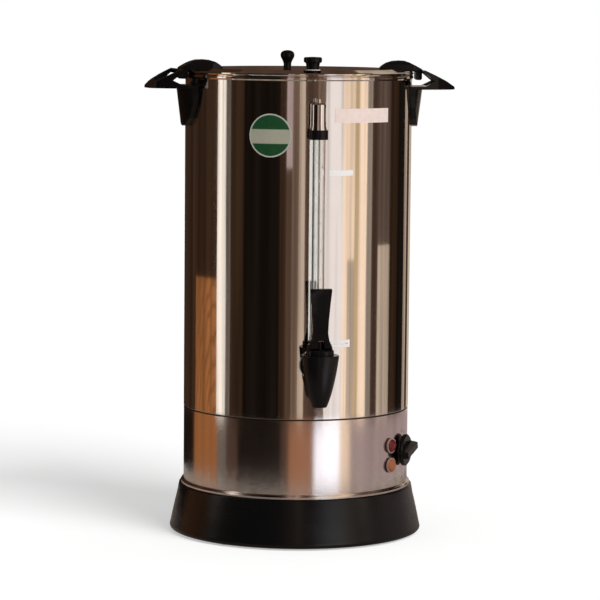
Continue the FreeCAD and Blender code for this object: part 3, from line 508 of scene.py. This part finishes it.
# %% Give every CAD piece its finish
FINISHES = {
    tank_steel: ["tank"],
    lid_steel: ["lid_pan"],
    housing_steel: ["lower_housing"],
    base_black: ["base_skirt"],
    grip_black: ["left_handle", "right_handle", "left_lug", "right_lug", "lid_knob", "filler_cap",
                 "thermostat_knob"],
    tap_black: ["tap_body", "tap_bonnet", "tap_lever", "tap_locknut", "gauge_nut", "gauge_holder"],
    plated_steel: ["base_plate", "heater_clamp"],
    fastener_steel: ["base_screws", "housing_screws", "heater_stud", "thermostat_nut", "thermostat_shaft",
                     "inlet_screws", "holder_screw", "handle_bolts", "lug_screws", "lid_knob_screw",
                     "tap_spring"],
    dark_steel: ["lever_pin", "tap_stem"],
    dark_sheath: ["heating_element"],
    cast_metal: ["heat_plate"],
    inlet_black: ["inlet_socket", "thermal_cutout"],
    foot_rubber: ["base_feet"],
    seal_silicone: ["tap_outer_seal", "tap_inner_seal", "seat_cup", "gauge_seal", "handle_washers",
                    "filler_seal"],
    cream_plastic: ["terminal_block", "thermostat_body"],
    bezel_plastic: ["lamp_bodies"],
    red_plastic: ["red_lens"],
    amber_plastic: ["amber_lens"],
    tube_glass: ["gauge_tube"],
    cap_chrome: ["gauge_cap"],
    sticker_film: ["badge"],
    strip_film: ["blank_strip"],
}
finished = set()
for material, names in FINISHES.items():
    for name in names:
        for slot in nodes[name].material_slots:
            slot.material = material
        finished.add(name)
print("finished:", len(finished), "left over:", sorted(set(nodes) - finished))

# %% [markdown]
# Skirt. The moulded base flares to its foot, with a soft top edge and a rolled foot. A Screw
# modifier or a curve could turn it, but it is one section turned round the tank axis, and a bmesh
# spin does that in one line. It stands in for the CAD skirt, whose stiffening ribs reach through
# the outer face near the top. Each point of the section is a step out and up from a corner.

# %% Turned skirt
SKIRT_TOP = 0.0486
SKIRT_FOOT = 0.0015
SKIRT_TURNS = 160
TOP_EDGE = [(-0.0090, 0.0), (0.0032, 0.0), (0.0039, -0.0001), (0.0043, -0.0005), (0.0045, -0.0012)]
FLARE = [(0.0060, -0.0096), (0.0085, -0.0201), (0.0108, -0.0306)]
ROLLED_FOOT = [(0.0130, 0.0061), (0.0136, 0.0041), (0.0137, 0.0029), (0.0134, 0.0017), (0.0126, 0.0008),
               (0.0112, 0.0001), (0.0096, 0.0), (0.0096, 0.0065)]
INNER_WALL = [(0.0046, -0.0186), (0.0016, -0.0030), (-0.0090, -0.0030)]


def beside(height, steps):
    """Section points, from steps out from the tank wall and up from a height."""
    return [(TANK_RADIUS + out, AXIS_Y, height + up) for out, up in steps]


def turned_skirt():
    mesh = bpy.data.meshes.new("turned_skirt")
    shape = bmesh.new()
    section = beside(SKIRT_TOP, TOP_EDGE + FLARE) + beside(SKIRT_FOOT, ROLLED_FOOT)
    corners = [shape.verts.new(point) for point in section + beside(SKIRT_TOP, INNER_WALL)]
    edges = [shape.edges.new((a, b)) for a, b in zip(corners, corners[1:] + corners[:1])]
    bmesh.ops.spin(shape, geom=corners + edges, cent=AXIS, axis=(0, 0, 1), angle=math.tau,
                   steps=SKIRT_TURNS)
    bmesh.ops.remove_doubles(shape, verts=shape.verts, dist=1e-6)
    bmesh.ops.recalc_face_normals(shape, faces=shape.faces)
    shape.to_mesh(mesh)
    shape.free()
    for face in mesh.polygons:
        face.use_smooth = True
    mesh.set_sharp_from_angle(angle=math.radians(35))
    mesh.materials.append(base_black)
    piece = bpy.data.objects.new("turned_skirt", mesh)
    bpy.context.scene.collection.objects.link(piece)
    return piece


skirt = turned_skirt()
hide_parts("base_skirt")
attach(skirt, "urn")
print("skirt:", len(skirt.data.polygons), "faces")

# %% [markdown]
# What repeats is made by small Geometry Nodes trees. They are built here like the shader trees,
# with named inputs for their sizes. The tree's result is then turned into a plain mesh, because a
# modifier and its instances wouldn't be exported.

# %% From a tree to a plain mesh
def named_inputs(group, labels):
    ids = {}
    for label, kind, value in labels:
        socket = group.interface.new_socket(label, in_out="INPUT", socket_type=kind)
        if value is not None:
            socket.default_value = value
        ids[label] = socket.identifier
    group.interface.new_socket("Geometry", in_out="OUTPUT", socket_type="NodeSocketGeometry")
    return ids


def plain_mesh(name, group, values):
    holder = bpy.data.objects.new(name + " source", bpy.data.meshes.new(name + " source"))
    bpy.context.scene.collection.objects.link(holder)
    modifier = holder.modifiers.new("nodes", "NODES")
    modifier.node_group = group
    for identifier, value in values.items():
        modifier[identifier] = value
    graph = bpy.context.evaluated_depsgraph_get()
    mesh = bpy.data.meshes.new_from_object(holder.evaluated_get(graph))
    mesh.name = name
    bpy.data.objects.remove(holder)
    piece = bpy.data.objects.new(name, mesh)
    bpy.context.scene.collection.objects.link(piece)
    return piece


print("tree helpers ready")

# %% [markdown]
# Droplets. Condensation beads on the inside of the sight tube. They could be placed by hand, but
# a tree that scatters one small sphere over points on the inner wall keeps their number, size and
# seed in one place. Height goes up evenly, and the turn round the tube and the size are drawn at
# random.

# %% Droplets in the sight tube
GAUGE_REACH = 0.0145
GAUGE_Y = AXIS_Y - TANK_RADIUS - GAUGE_REACH
DROPLET_COUNT = 9
DROPLET_SEED = 4
DROPLET_TURNS = (-2.6, -0.5)
DROPLET_SIZES = (0.5, 1.0)


def random_between(group, seed, limits):
    """A random value for each point. The node's inputs 2 and 3 are the limits of a float."""
    node = add(group, "FunctionNodeRandomValue", {"data_type": "FLOAT"}, Seed=seed)
    node.inputs[2].default_value, node.inputs[3].default_value = limits
    return node.outputs[1]


def droplets():
    group = bpy.data.node_groups.new("droplets", "GeometryNodeTree")
    ids = named_inputs(group, [("Count", "NodeSocketInt", DROPLET_COUNT),
                               ("Bottom", "NodeSocketFloat", 0.27), ("Top", "NodeSocketFloat", 0.38),
                               ("Wall", "NodeSocketFloat", 0.0042), ("Size", "NodeSocketFloat", 0.0011),
                               ("Seed", "NodeSocketInt", DROPLET_SEED)])
    entry, out = group.nodes.new("NodeGroupInput"), group.nodes.new("NodeGroupOutput")
    points = add(group, "GeometryNodePoints", None, Count=entry.outputs["Count"])
    index = group.nodes.new("GeometryNodeInputIndex").outputs[0]
    last = math_node(group, "MAXIMUM", math_node(group, "SUBTRACT", entry.outputs["Count"], 1.0), 1.0)
    share = math_node(group, "DIVIDE", index, last)
    span = math_node(group, "SUBTRACT", entry.outputs["Top"], entry.outputs["Bottom"])
    height = math_node(group, "ADD", entry.outputs["Bottom"], math_node(group, "MULTIPLY", share, span))
    angle = random_between(group, entry.outputs["Seed"], DROPLET_TURNS)
    x = math_node(group, "MULTIPLY", entry.outputs["Wall"], math_node(group, "COSINE", angle))
    y = math_node(group, "MULTIPLY", entry.outputs["Wall"], math_node(group, "SINE", angle))
    y = math_node(group, "ADD", y, GAUGE_Y)
    spot = add(group, "ShaderNodeCombineXYZ", None, X=x, Y=y, Z=height)
    placed = add(group, "GeometryNodeSetPosition", None, Geometry=points.outputs[0], Position=spot.outputs[0])
    ball = add(group, "GeometryNodeMeshIcoSphere", None, Radius=entry.outputs["Size"], Subdivisions=3)
    size = random_between(group, entry.outputs["Seed"], DROPLET_SIZES)
    beads = add(group, "GeometryNodeInstanceOnPoints", None, Points=placed.outputs[0],
                Instance=ball.outputs[0], Scale=size)
    real = add(group, "GeometryNodeRealizeInstances", None, Geometry=beads.outputs[0])
    wet = add(group, "GeometryNodeSetMaterial", None, Geometry=real.outputs[0], Material=water_drop)
    group.links.new(wet.outputs[0], out.inputs[0])
    return plain_mesh("tube_droplets", group, {ids["Count"]: DROPLET_COUNT, ids["Seed"]: DROPLET_SEED})


def drop_material():
    material, tree, shader, place = paint("water droplet", IOR=1.33, Transmission_Weight=1.0)
    haze = add(tree, "ShaderNodeTexNoise", None, Vector=place, Scale=300.0)
    tone = mix_colour(tree, haze.outputs[0], (0.95, 0.97, 0.97, 1), (1, 1, 1, 1))
    tree.links.new(tone, shader.inputs["Base Color"])
    tree.links.new(ramp(tree, haze.outputs[0], 0.3, 0.7, 0.0, 0.06), shader.inputs["Roughness"])
    return material


water_drop = drop_material()
tube_droplets = droplets()
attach(tube_droplets, "urn")
print("droplets:", len(tube_droplets.data.polygons), "faces")

# %% [markdown]
# Dial marks. The thermostat knob turns against a ring of plain ticks printed on the housing. A
# mask in the housing's material could draw them, but as thin bars they also show in the plain
# mesh. They repeat round the knob's axis, so Geometry Nodes sets a bar at each point of an arc,
# and the bars are then bent onto the round wall.

# %% Thermostat ticks
KNOB_AZIMUTH = math.radians(60.3)
KNOB_HEIGHT = 0.0887
HOUSING_RADIUS = TANK_RADIUS - 0.0002
TICK_COUNT = 11
TICK_START = math.radians(-45)
TICK_SWEEP = math.radians(270)
TICK_THICKNESS = 0.00008
TICK_LIFT = 0.00004
dial_ink = moulded("dial ink", (0.05, 0.04, 0.035, 1), 0.5, 0.03, 0.05)


def tick_ring():
    group = bpy.data.node_groups.new("dial ticks", "GeometryNodeTree")
    ids = named_inputs(group, [("Ticks", "NodeSocketInt", TICK_COUNT),
                               ("Ring radius", "NodeSocketFloat", 0.0195),
                               ("Length", "NodeSocketFloat", 0.003), ("Width", "NodeSocketFloat", 0.0007)])
    entry, out = group.nodes.new("NodeGroupInput"), group.nodes.new("NodeGroupOutput")
    arc = add(group, "GeometryNodeCurveArc", {"mode": "RADIUS"}, Resolution=entry.outputs["Ticks"],
              Radius=entry.outputs["Ring radius"], Start_Angle=TICK_START, Sweep_Angle=TICK_SWEEP)
    points = add(group, "GeometryNodeCurveToPoints", {"mode": "EVALUATED"}, Curve=arc.outputs[0])
    size = add(group, "ShaderNodeCombineXYZ", None, X=entry.outputs["Length"], Y=entry.outputs["Width"],
               Z=TICK_THICKNESS)
    bar = add(group, "GeometryNodeMeshCube", None, Size=size.outputs[0], Vertices_X=4, Vertices_Y=2,
              Vertices_Z=2)
    place = group.nodes.new("GeometryNodeInputPosition").outputs[0]
    facing = add(group, "FunctionNodeAlignRotationToVector", {"axis": "X"}, Vector=place)
    bars = add(group, "GeometryNodeInstanceOnPoints", None, Points=points.outputs[0], Instance=bar.outputs[0],
               Rotation=facing.outputs[0])
    real = add(group, "GeometryNodeRealizeInstances", None, Geometry=bars.outputs[0])
    inked = add(group, "GeometryNodeSetMaterial", None, Geometry=real.outputs[0], Material=dial_ink)
    group.links.new(inked.outputs[0], out.inputs[0])
    return plain_mesh("dial_ticks", group, {ids["Ticks"]: TICK_COUNT})


def wrap_on_housing(piece, azimuth, height, lift):
    """Bends a flat piece, drawn in X across and Y up, onto the round housing wall."""
    for vertex in piece.data.vertices:
        across, up, thick = vertex.co
        turn = azimuth + across / HOUSING_RADIUS
        reach = HOUSING_RADIUS + lift + thick
        vertex.co = (reach * math.sin(turn), AXIS_Y - reach * math.cos(turn), height + up)


dial_ticks = tick_ring()
wrap_on_housing(dial_ticks, KNOB_AZIMUTH, KNOB_HEIGHT, TICK_LIFT)
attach(dial_ticks, "urn")
print("dial ticks:", len(dial_ticks.data.polygons), "faces")

# %% [markdown]
# Cards. Polished metal shows what stands round it, so the look of the tank is made by tall cards
# just outside the picture, as a product photographer does: dark ones for the deep bands, pale
# ones for the bright stripes. A panorama could do it too, but it would be a picture to load. A
# card's place is worked out backwards: a ray from the camera meets the tank where the card should
# show, and its mirrored path is followed out to a ring round the urn.

# %% Where a card has to stand
CARD_RADIUS = 0.42
CARD_CLEARANCE = 0.003
EDGE = 0.9995


def card_point(face, level):
    """The place on the ring that the camera sees mirrored at one spot of the tank. The face goes
    from -1 at the tank's left edge to 1 at its right, and the level is a height on the tank."""
    turn = math.asin(max(-EDGE, min(EDGE, face)))
    normal = Vector((math.sin(turn), -math.cos(turn)))
    start = normal * TANK_RADIUS
    path = start - Vector((0, -CAMERA_DISTANCE))
    ray = path.normalized()
    mirrored = ray - 2 * ray.dot(normal) * normal
    b = start.dot(mirrored)
    length = -b + math.sqrt(b * b - start.dot(start) + CARD_RADIUS ** 2)
    hit = Matrix.Rotation(CAMERA_AZIMUTH, 2) @ (start + mirrored * length) + AXIS.xy
    fall = (CAMERA_HEIGHT - level) / path.length
    return Vector((hit.x, hit.y, max(CARD_CLEARANCE, level - fall * length)))


print("a card for the tank's middle stands at:", tuple(round(v, 3) for v in card_point(0.0, SEAM_HEIGHT)))

# %% [markdown]
# The cards glow with their own light, so their tones are as chosen. A tone is given as it should
# look on screen, and is divided by the colour of the steel that mirrors it. Faint upright
# streaks, and rings in the wood, make the reflections look like those of a room.

# %% The tones of the cards
PALETTE = {
    "flash": (268, 264, 270), "pearl": (228, 214, 200), "linen": (222, 194, 168), "mist": (208, 196, 190),
    "olive": (174, 148, 112), "sand": (166, 146, 128), "rose": (150, 130, 126), "rust": (142, 96, 70),
    "wood": (140, 88, 50), "stone": (130, 116, 104), "clay": (104, 82, 68), "grey": (96, 86, 78),
    "shade": (82, 66, 57), "umber": (70, 52, 42), "bark": (50, 34, 23), "coal": (22, 16, 12),
}


def linear(value):
    """A screen value from 0 to 255, turned into the linear value that nodes use."""
    share = value / 255.0
    return share / 12.92 if share <= 0.04045 else ((share + 0.055) / 1.055) ** 2.4


def card_paint(name, tone, streaks):
    material = bpy.data.materials.new(name)
    material.use_nodes = True
    tree = material.node_tree
    tree.nodes.clear()
    place = tree.nodes.new("ShaderNodeTexCoord").outputs["Object"]
    tall = add(tree, "ShaderNodeMapping", None, Vector=place, Scale=(1.0, 1.0, 0.06))
    noise = add(tree, "ShaderNodeTexNoise", None, Vector=tall.outputs[0], Scale=17.0, Detail=3.0,
                Roughness=0.65)
    pattern = ramp(tree, noise.outputs[0], 0.4, 0.6)
    if tone == "wood":
        rings = add(tree, "ShaderNodeTexWave", {"wave_type": "RINGS"}, Vector=place, Scale=11.0,
                    Distortion=5.0, Detail=2.0, Detail_Scale=1.5)
        pattern = math_node(tree, "MULTIPLY", pattern, ramp(tree, rings.outputs[1], 0.0, 0.35))
    colour = [linear(value) / steel for value, steel in zip(PALETTE[tone], STEEL)]
    dark, light = [tuple(c * (1 + change) for c in colour) + (1,) for change in (-streaks, streaks)]
    glow = add(tree, "ShaderNodeEmission", None, Color=mix_colour(tree, pattern, dark, light), Strength=1.0)
    output = tree.nodes.new("ShaderNodeOutputMaterial")
    tree.links.new(glow.outputs[0], output.inputs[0])
    return material


print("tones:", sorted(PALETTE))

# %% [markdown]
# The cards are seen only by mirror-like rays, so they neither light the urn nor throw shadows,
# and the camera looks straight through them. Standing cards are strips of a few flat faces that
# follow the ring. Level ones lie overhead, to keep the lid from turning white, and underfoot, to
# tone down the table.

# %% Makers of cards
CARD_FACES = 6
BACK_FACES = 10
DISC_CORNERS = 24


def set_aside(piece):
    """Shows a piece to mirror-like rays alone, and keeps it out of the object."""
    piece.visible_camera = False
    piece.visible_diffuse = False
    piece.visible_transmission = False
    piece.visible_shadow = False
    piece.visible_volume_scatter = False
    bpy.context.scene.collection.objects.link(piece)


def standing_card(name, feet, heads, tone, streaks):
    count = len(feet)
    faces = [(i, i + 1, count + i + 1, count + i) for i in range(count - 1)]
    mesh = bpy.data.meshes.new(name)
    mesh.from_pydata(feet + heads, [], faces)
    mesh.materials.append(card_paint(name, tone, streaks))
    set_aside(bpy.data.objects.new(name, mesh))


def card(name, left, right, tone, low, high, streaks):
    """A card whose reflection fills the tank from left to right and from a low to a high level."""
    across = [left + (right - left) * i / CARD_FACES for i in range(CARD_FACES + 1)]
    feet, heads = [[card_point(face, level) for face in across] for level in (low, high)]
    standing_card(name, feet, heads, tone, streaks)


def back_card(name, half_angle, tone, height, streaks):
    """A card straight behind the urn."""
    feet = []
    for i in range(BACK_FACES + 1):
        turn = math.radians(180 + half_angle * (2 * i / BACK_FACES - 1)) + CAMERA_AZIMUTH
        feet.append(AXIS + Vector((math.sin(turn), -math.cos(turn), 0.0)) * CARD_RADIUS)
    standing_card(name, feet, [foot + Vector((0, 0, height)) for foot in feet], tone, streaks)


def level_card(name, tone, height, radius, streaks):
    turns = [math.tau * i / DISC_CORNERS for i in range(DISC_CORNERS)]
    corners = [(radius * math.cos(turn), AXIS_Y + radius * math.sin(turn), height) for turn in turns]
    mesh = bpy.data.meshes.new(name)
    mesh.from_pydata(corners, [], [tuple(range(DISC_CORNERS))])
    mesh.materials.append(card_paint(name, tone, streaks))
    set_aside(bpy.data.objects.new(name, mesh))


print("each card has", CARD_FACES, "faces")

# %% [markdown]
# The room that the tank mirrors, from its left edge to its right. The upper cards start at the
# seam and fill the polished tank. The lower ones end there and fill the satin housing, which
# blurs them into bands.

# %% The cards round the urn
CARD_TOP = 0.775
CARD_FOOT = 0.03
WOOD_TOP = 0.265
ROSE_FOOT = 0.377
CURTAIN_FOOT = 0.287
RIGHT_SAND_TOP = 0.300
UPPER_CARDS = [
    ("far left", -EDGE, -0.88, "bark", SEAM_HEIGHT, CARD_TOP),
    ("left wood", -0.88, -0.69, "wood", SEAM_HEIGHT, WOOD_TOP),
    ("left dark", -0.88, -0.69, "bark", WOOD_TOP, CARD_TOP),
    ("left stripe", -0.69, -0.615, "pearl", SEAM_HEIGHT, CARD_TOP),
    ("left fade", -0.615, -0.575, "grey", SEAM_HEIGHT, CARD_TOP),
    ("left bark", -0.575, -0.46, "bark", SEAM_HEIGHT, CARD_TOP),
    ("wide black", -0.46, -0.15, "coal", SEAM_HEIGHT, CARD_TOP),
    ("soft brown", -0.15, -0.095, "bark", SEAM_HEIGHT, CARD_TOP),
    ("rose line", -0.095, -0.045, "rose", ROSE_FOOT, CARD_TOP),
    ("rose foot", -0.095, -0.045, "umber", SEAM_HEIGHT, ROSE_FOOT),
    ("tan line", -0.045, 0.01, "clay", SEAM_HEIGHT, CARD_TOP),
    ("sand line", 0.01, 0.06, "sand", SEAM_HEIGHT, CARD_TOP),
    ("brown line", 0.06, 0.17, "umber", SEAM_HEIGHT, CARD_TOP),
    ("behind tube", 0.17, 0.235, "clay", SEAM_HEIGHT, CARD_TOP),
    ("window", 0.235, 0.39, "mist", SEAM_HEIGHT, CARD_TOP),
    ("curtain", 0.39, 0.49, "linen", CURTAIN_FOOT, CARD_TOP),
    ("curtain foot", 0.39, 0.43, "linen", SEAM_HEIGHT, CURTAIN_FOOT),
    ("curtain shade", 0.43, 0.49, "sand", SEAM_HEIGHT, CURTAIN_FOOT),
    ("olive line", 0.49, 0.525, "olive", SEAM_HEIGHT, CARD_TOP),
    ("cream wall", 0.525, 0.595, "linen", SEAM_HEIGHT, CARD_TOP),
    ("sand wall", 0.595, 0.64, "stone", SEAM_HEIGHT, CARD_TOP),
    ("right umber", 0.64, 0.695, "umber", SEAM_HEIGHT, CARD_TOP),
    ("right clay", 0.695, 0.80, "shade", RIGHT_SAND_TOP, CARD_TOP),
    ("right sand", 0.695, 0.80, "sand", SEAM_HEIGHT, RIGHT_SAND_TOP),
    ("right dark", 0.80, 0.87, "bark", SEAM_HEIGHT, CARD_TOP),
    ("right black", 0.87, 0.93, "coal", SEAM_HEIGHT, CARD_TOP),
    ("right line", 0.93, 0.955, "sand", SEAM_HEIGHT, CARD_TOP),
    ("right bark", 0.955, 0.975, "bark", SEAM_HEIGHT, CARD_TOP),
    ("far right", 0.975, EDGE, "sand", SEAM_HEIGHT, CARD_TOP),
]
LOWER_CARDS = [
    ("lower left", -EDGE, -0.89, "coal"),
    ("lower wood", -0.89, -0.68, "wood"),
    ("lower grey", -0.68, -0.60, "grey"),
    ("lower umber", -0.60, -0.50, "umber"),
    ("lower bark", -0.50, -0.13, "coal"),
    ("lower brown", -0.13, -0.06, "umber"),
    ("lower rust", -0.06, 0.16, "rust"),
    ("lower white", 0.16, 0.38, "flash"),
    ("lower cream", 0.38, 0.47, "linen"),
    ("lower wall", 0.47, 0.72, "rose"),
    ("lower rose", 0.72, EDGE, "rose"),
]
for name, left, right, tone, low, high in UPPER_CARDS:
    card("card " + name, left, right, tone, low, high, streaks=0.3)
for name, left, right, tone in LOWER_CARDS:
    card("card " + name, left, right, tone, CARD_FOOT, SEAM_HEIGHT, streaks=0.12)
back_card("card behind", half_angle=14, tone="umber", height=0.9, streaks=0.2)
level_card("card overhead", tone="umber", height=1.05, radius=1.4, streaks=0.2)
level_card("card underfoot", tone="stone", height=0.002, radius=CARD_RADIUS, streaks=0.2)
print("standing cards:", len(UPPER_CARDS) + len(LOWER_CARDS) + 1, "level cards: 2")

# %% [markdown]
# Floor and surround. A white table runs back to a white surround, so no horizon shows. A plain
# white floor would render grey at its far end, so the floor glows a little and the surround is
# full white, but only for what the camera, glass and metal see. No extra light falls on the urn.

# %% Floor and surround
FLOOR_REACH = 6.0
FLOOR_LIFT = 0.42
AMBIENT = 0.30


def seen_rays(tree):
    """1 for a ray that ends in a picture or a reflection, and 0 for one that only lights."""
    path = tree.nodes.new("ShaderNodeLightPath")
    seen = math_node(tree, "MAXIMUM", path.outputs["Is Camera Ray"], path.outputs["Is Glossy Ray"])
    return math_node(tree, "MAXIMUM", seen, path.outputs["Is Transmission Ray"])


def studio_floor():
    mesh = bpy.data.meshes.new("studio floor")
    corners = [(-FLOOR_REACH, -FLOOR_REACH, 0), (FLOOR_REACH, -FLOOR_REACH, 0),
               (FLOOR_REACH, FLOOR_REACH, 0), (-FLOOR_REACH, FLOOR_REACH, 0)]
    mesh.from_pydata(corners, [], [(0, 1, 2, 3)])
    material, tree, shader, place = paint("studio floor", Roughness=0.9, Specular_IOR_Level=0.0)
    soft = add(tree, "ShaderNodeTexNoise", None, Vector=place, Scale=3.0)
    tone = mix_colour(tree, soft.outputs[0], (0.80, 0.80, 0.80, 1), (0.82, 0.82, 0.82, 1))
    tree.links.new(tone, shader.inputs["Base Color"])
    lift = add(tree, "ShaderNodeEmission", None, Color=(1, 1, 1, 1),
               Strength=math_node(tree, "MULTIPLY", seen_rays(tree), FLOOR_LIFT))
    both = add(tree, "ShaderNodeAddShader", None, i0=shader.outputs[0], i1=lift.outputs[0])
    output = next(node for node in tree.nodes if node.type == "OUTPUT_MATERIAL")
    tree.links.new(both.outputs[0], output.inputs[0])
    mesh.materials.append(material)
    floor = bpy.data.objects.new("studio floor", mesh)
    bpy.context.scene.collection.objects.link(floor)
    return floor


def surround():
    world = bpy.data.worlds.new("white surround")
    world.use_nodes = True
    tree = world.node_tree
    tree.nodes.clear()
    level = ramp(tree, seen_rays(tree), 0.0, 1.0, AMBIENT, 1.0)
    back = add(tree, "ShaderNodeBackground", None, Color=(1, 1, 1, 1), Strength=level)
    output = tree.nodes.new("ShaderNodeOutputWorld")
    tree.links.new(back.outputs[0], output.inputs[0])
    bpy.context.scene.world = world
    return world


floor = studio_floor()
world = surround()
print("standing on:", floor.name, "inside:", world.name)

# %% [markdown]
# Key lamp. One broad soft lamp to the right of the camera throws the soft shadow to the left. An
# area lamp would do the same but would have to be placed and sized, and a sun lamp needs only a
# direction and an angle. It is kept out of reflections, because the cards are the tank's lights.

# %% Key lamp
KEY_AZIMUTH = math.radians(42.0) + CAMERA_AZIMUTH
KEY_ELEVATION = math.radians(38.0)
KEY_STRENGTH = 2.3
KEY_SOFTNESS = math.radians(34.0)


def soft_sun(name, azimuth, elevation, strength, softness):
    data = bpy.data.lights.new(name, "SUN")
    data.energy = strength
    data.angle = softness
    lamp = bpy.data.objects.new(name, data)
    toward = Vector((math.sin(azimuth) * math.cos(elevation), -math.cos(azimuth) * math.cos(elevation),
                     math.sin(elevation)))
    turned = toward.to_track_quat("Z", "Y").to_matrix().to_4x4()
    lamp.matrix_world = Matrix.Translation(AXIS + toward) @ turned
    lamp.visible_glossy = False
    bpy.context.scene.collection.objects.link(lamp)
    return lamp


key = soft_sun("key lamp", KEY_AZIMUTH, KEY_ELEVATION, KEY_STRENGTH, KEY_SOFTNESS)
print("key lamp strength:", round(key.data.energy, 2))

# %% [markdown]
# The Standard view keeps the tones as they were mixed, where a filmic one would grey the white
# surround.

# %% Colour
bpy.context.scene.view_settings.view_transform = "Standard"
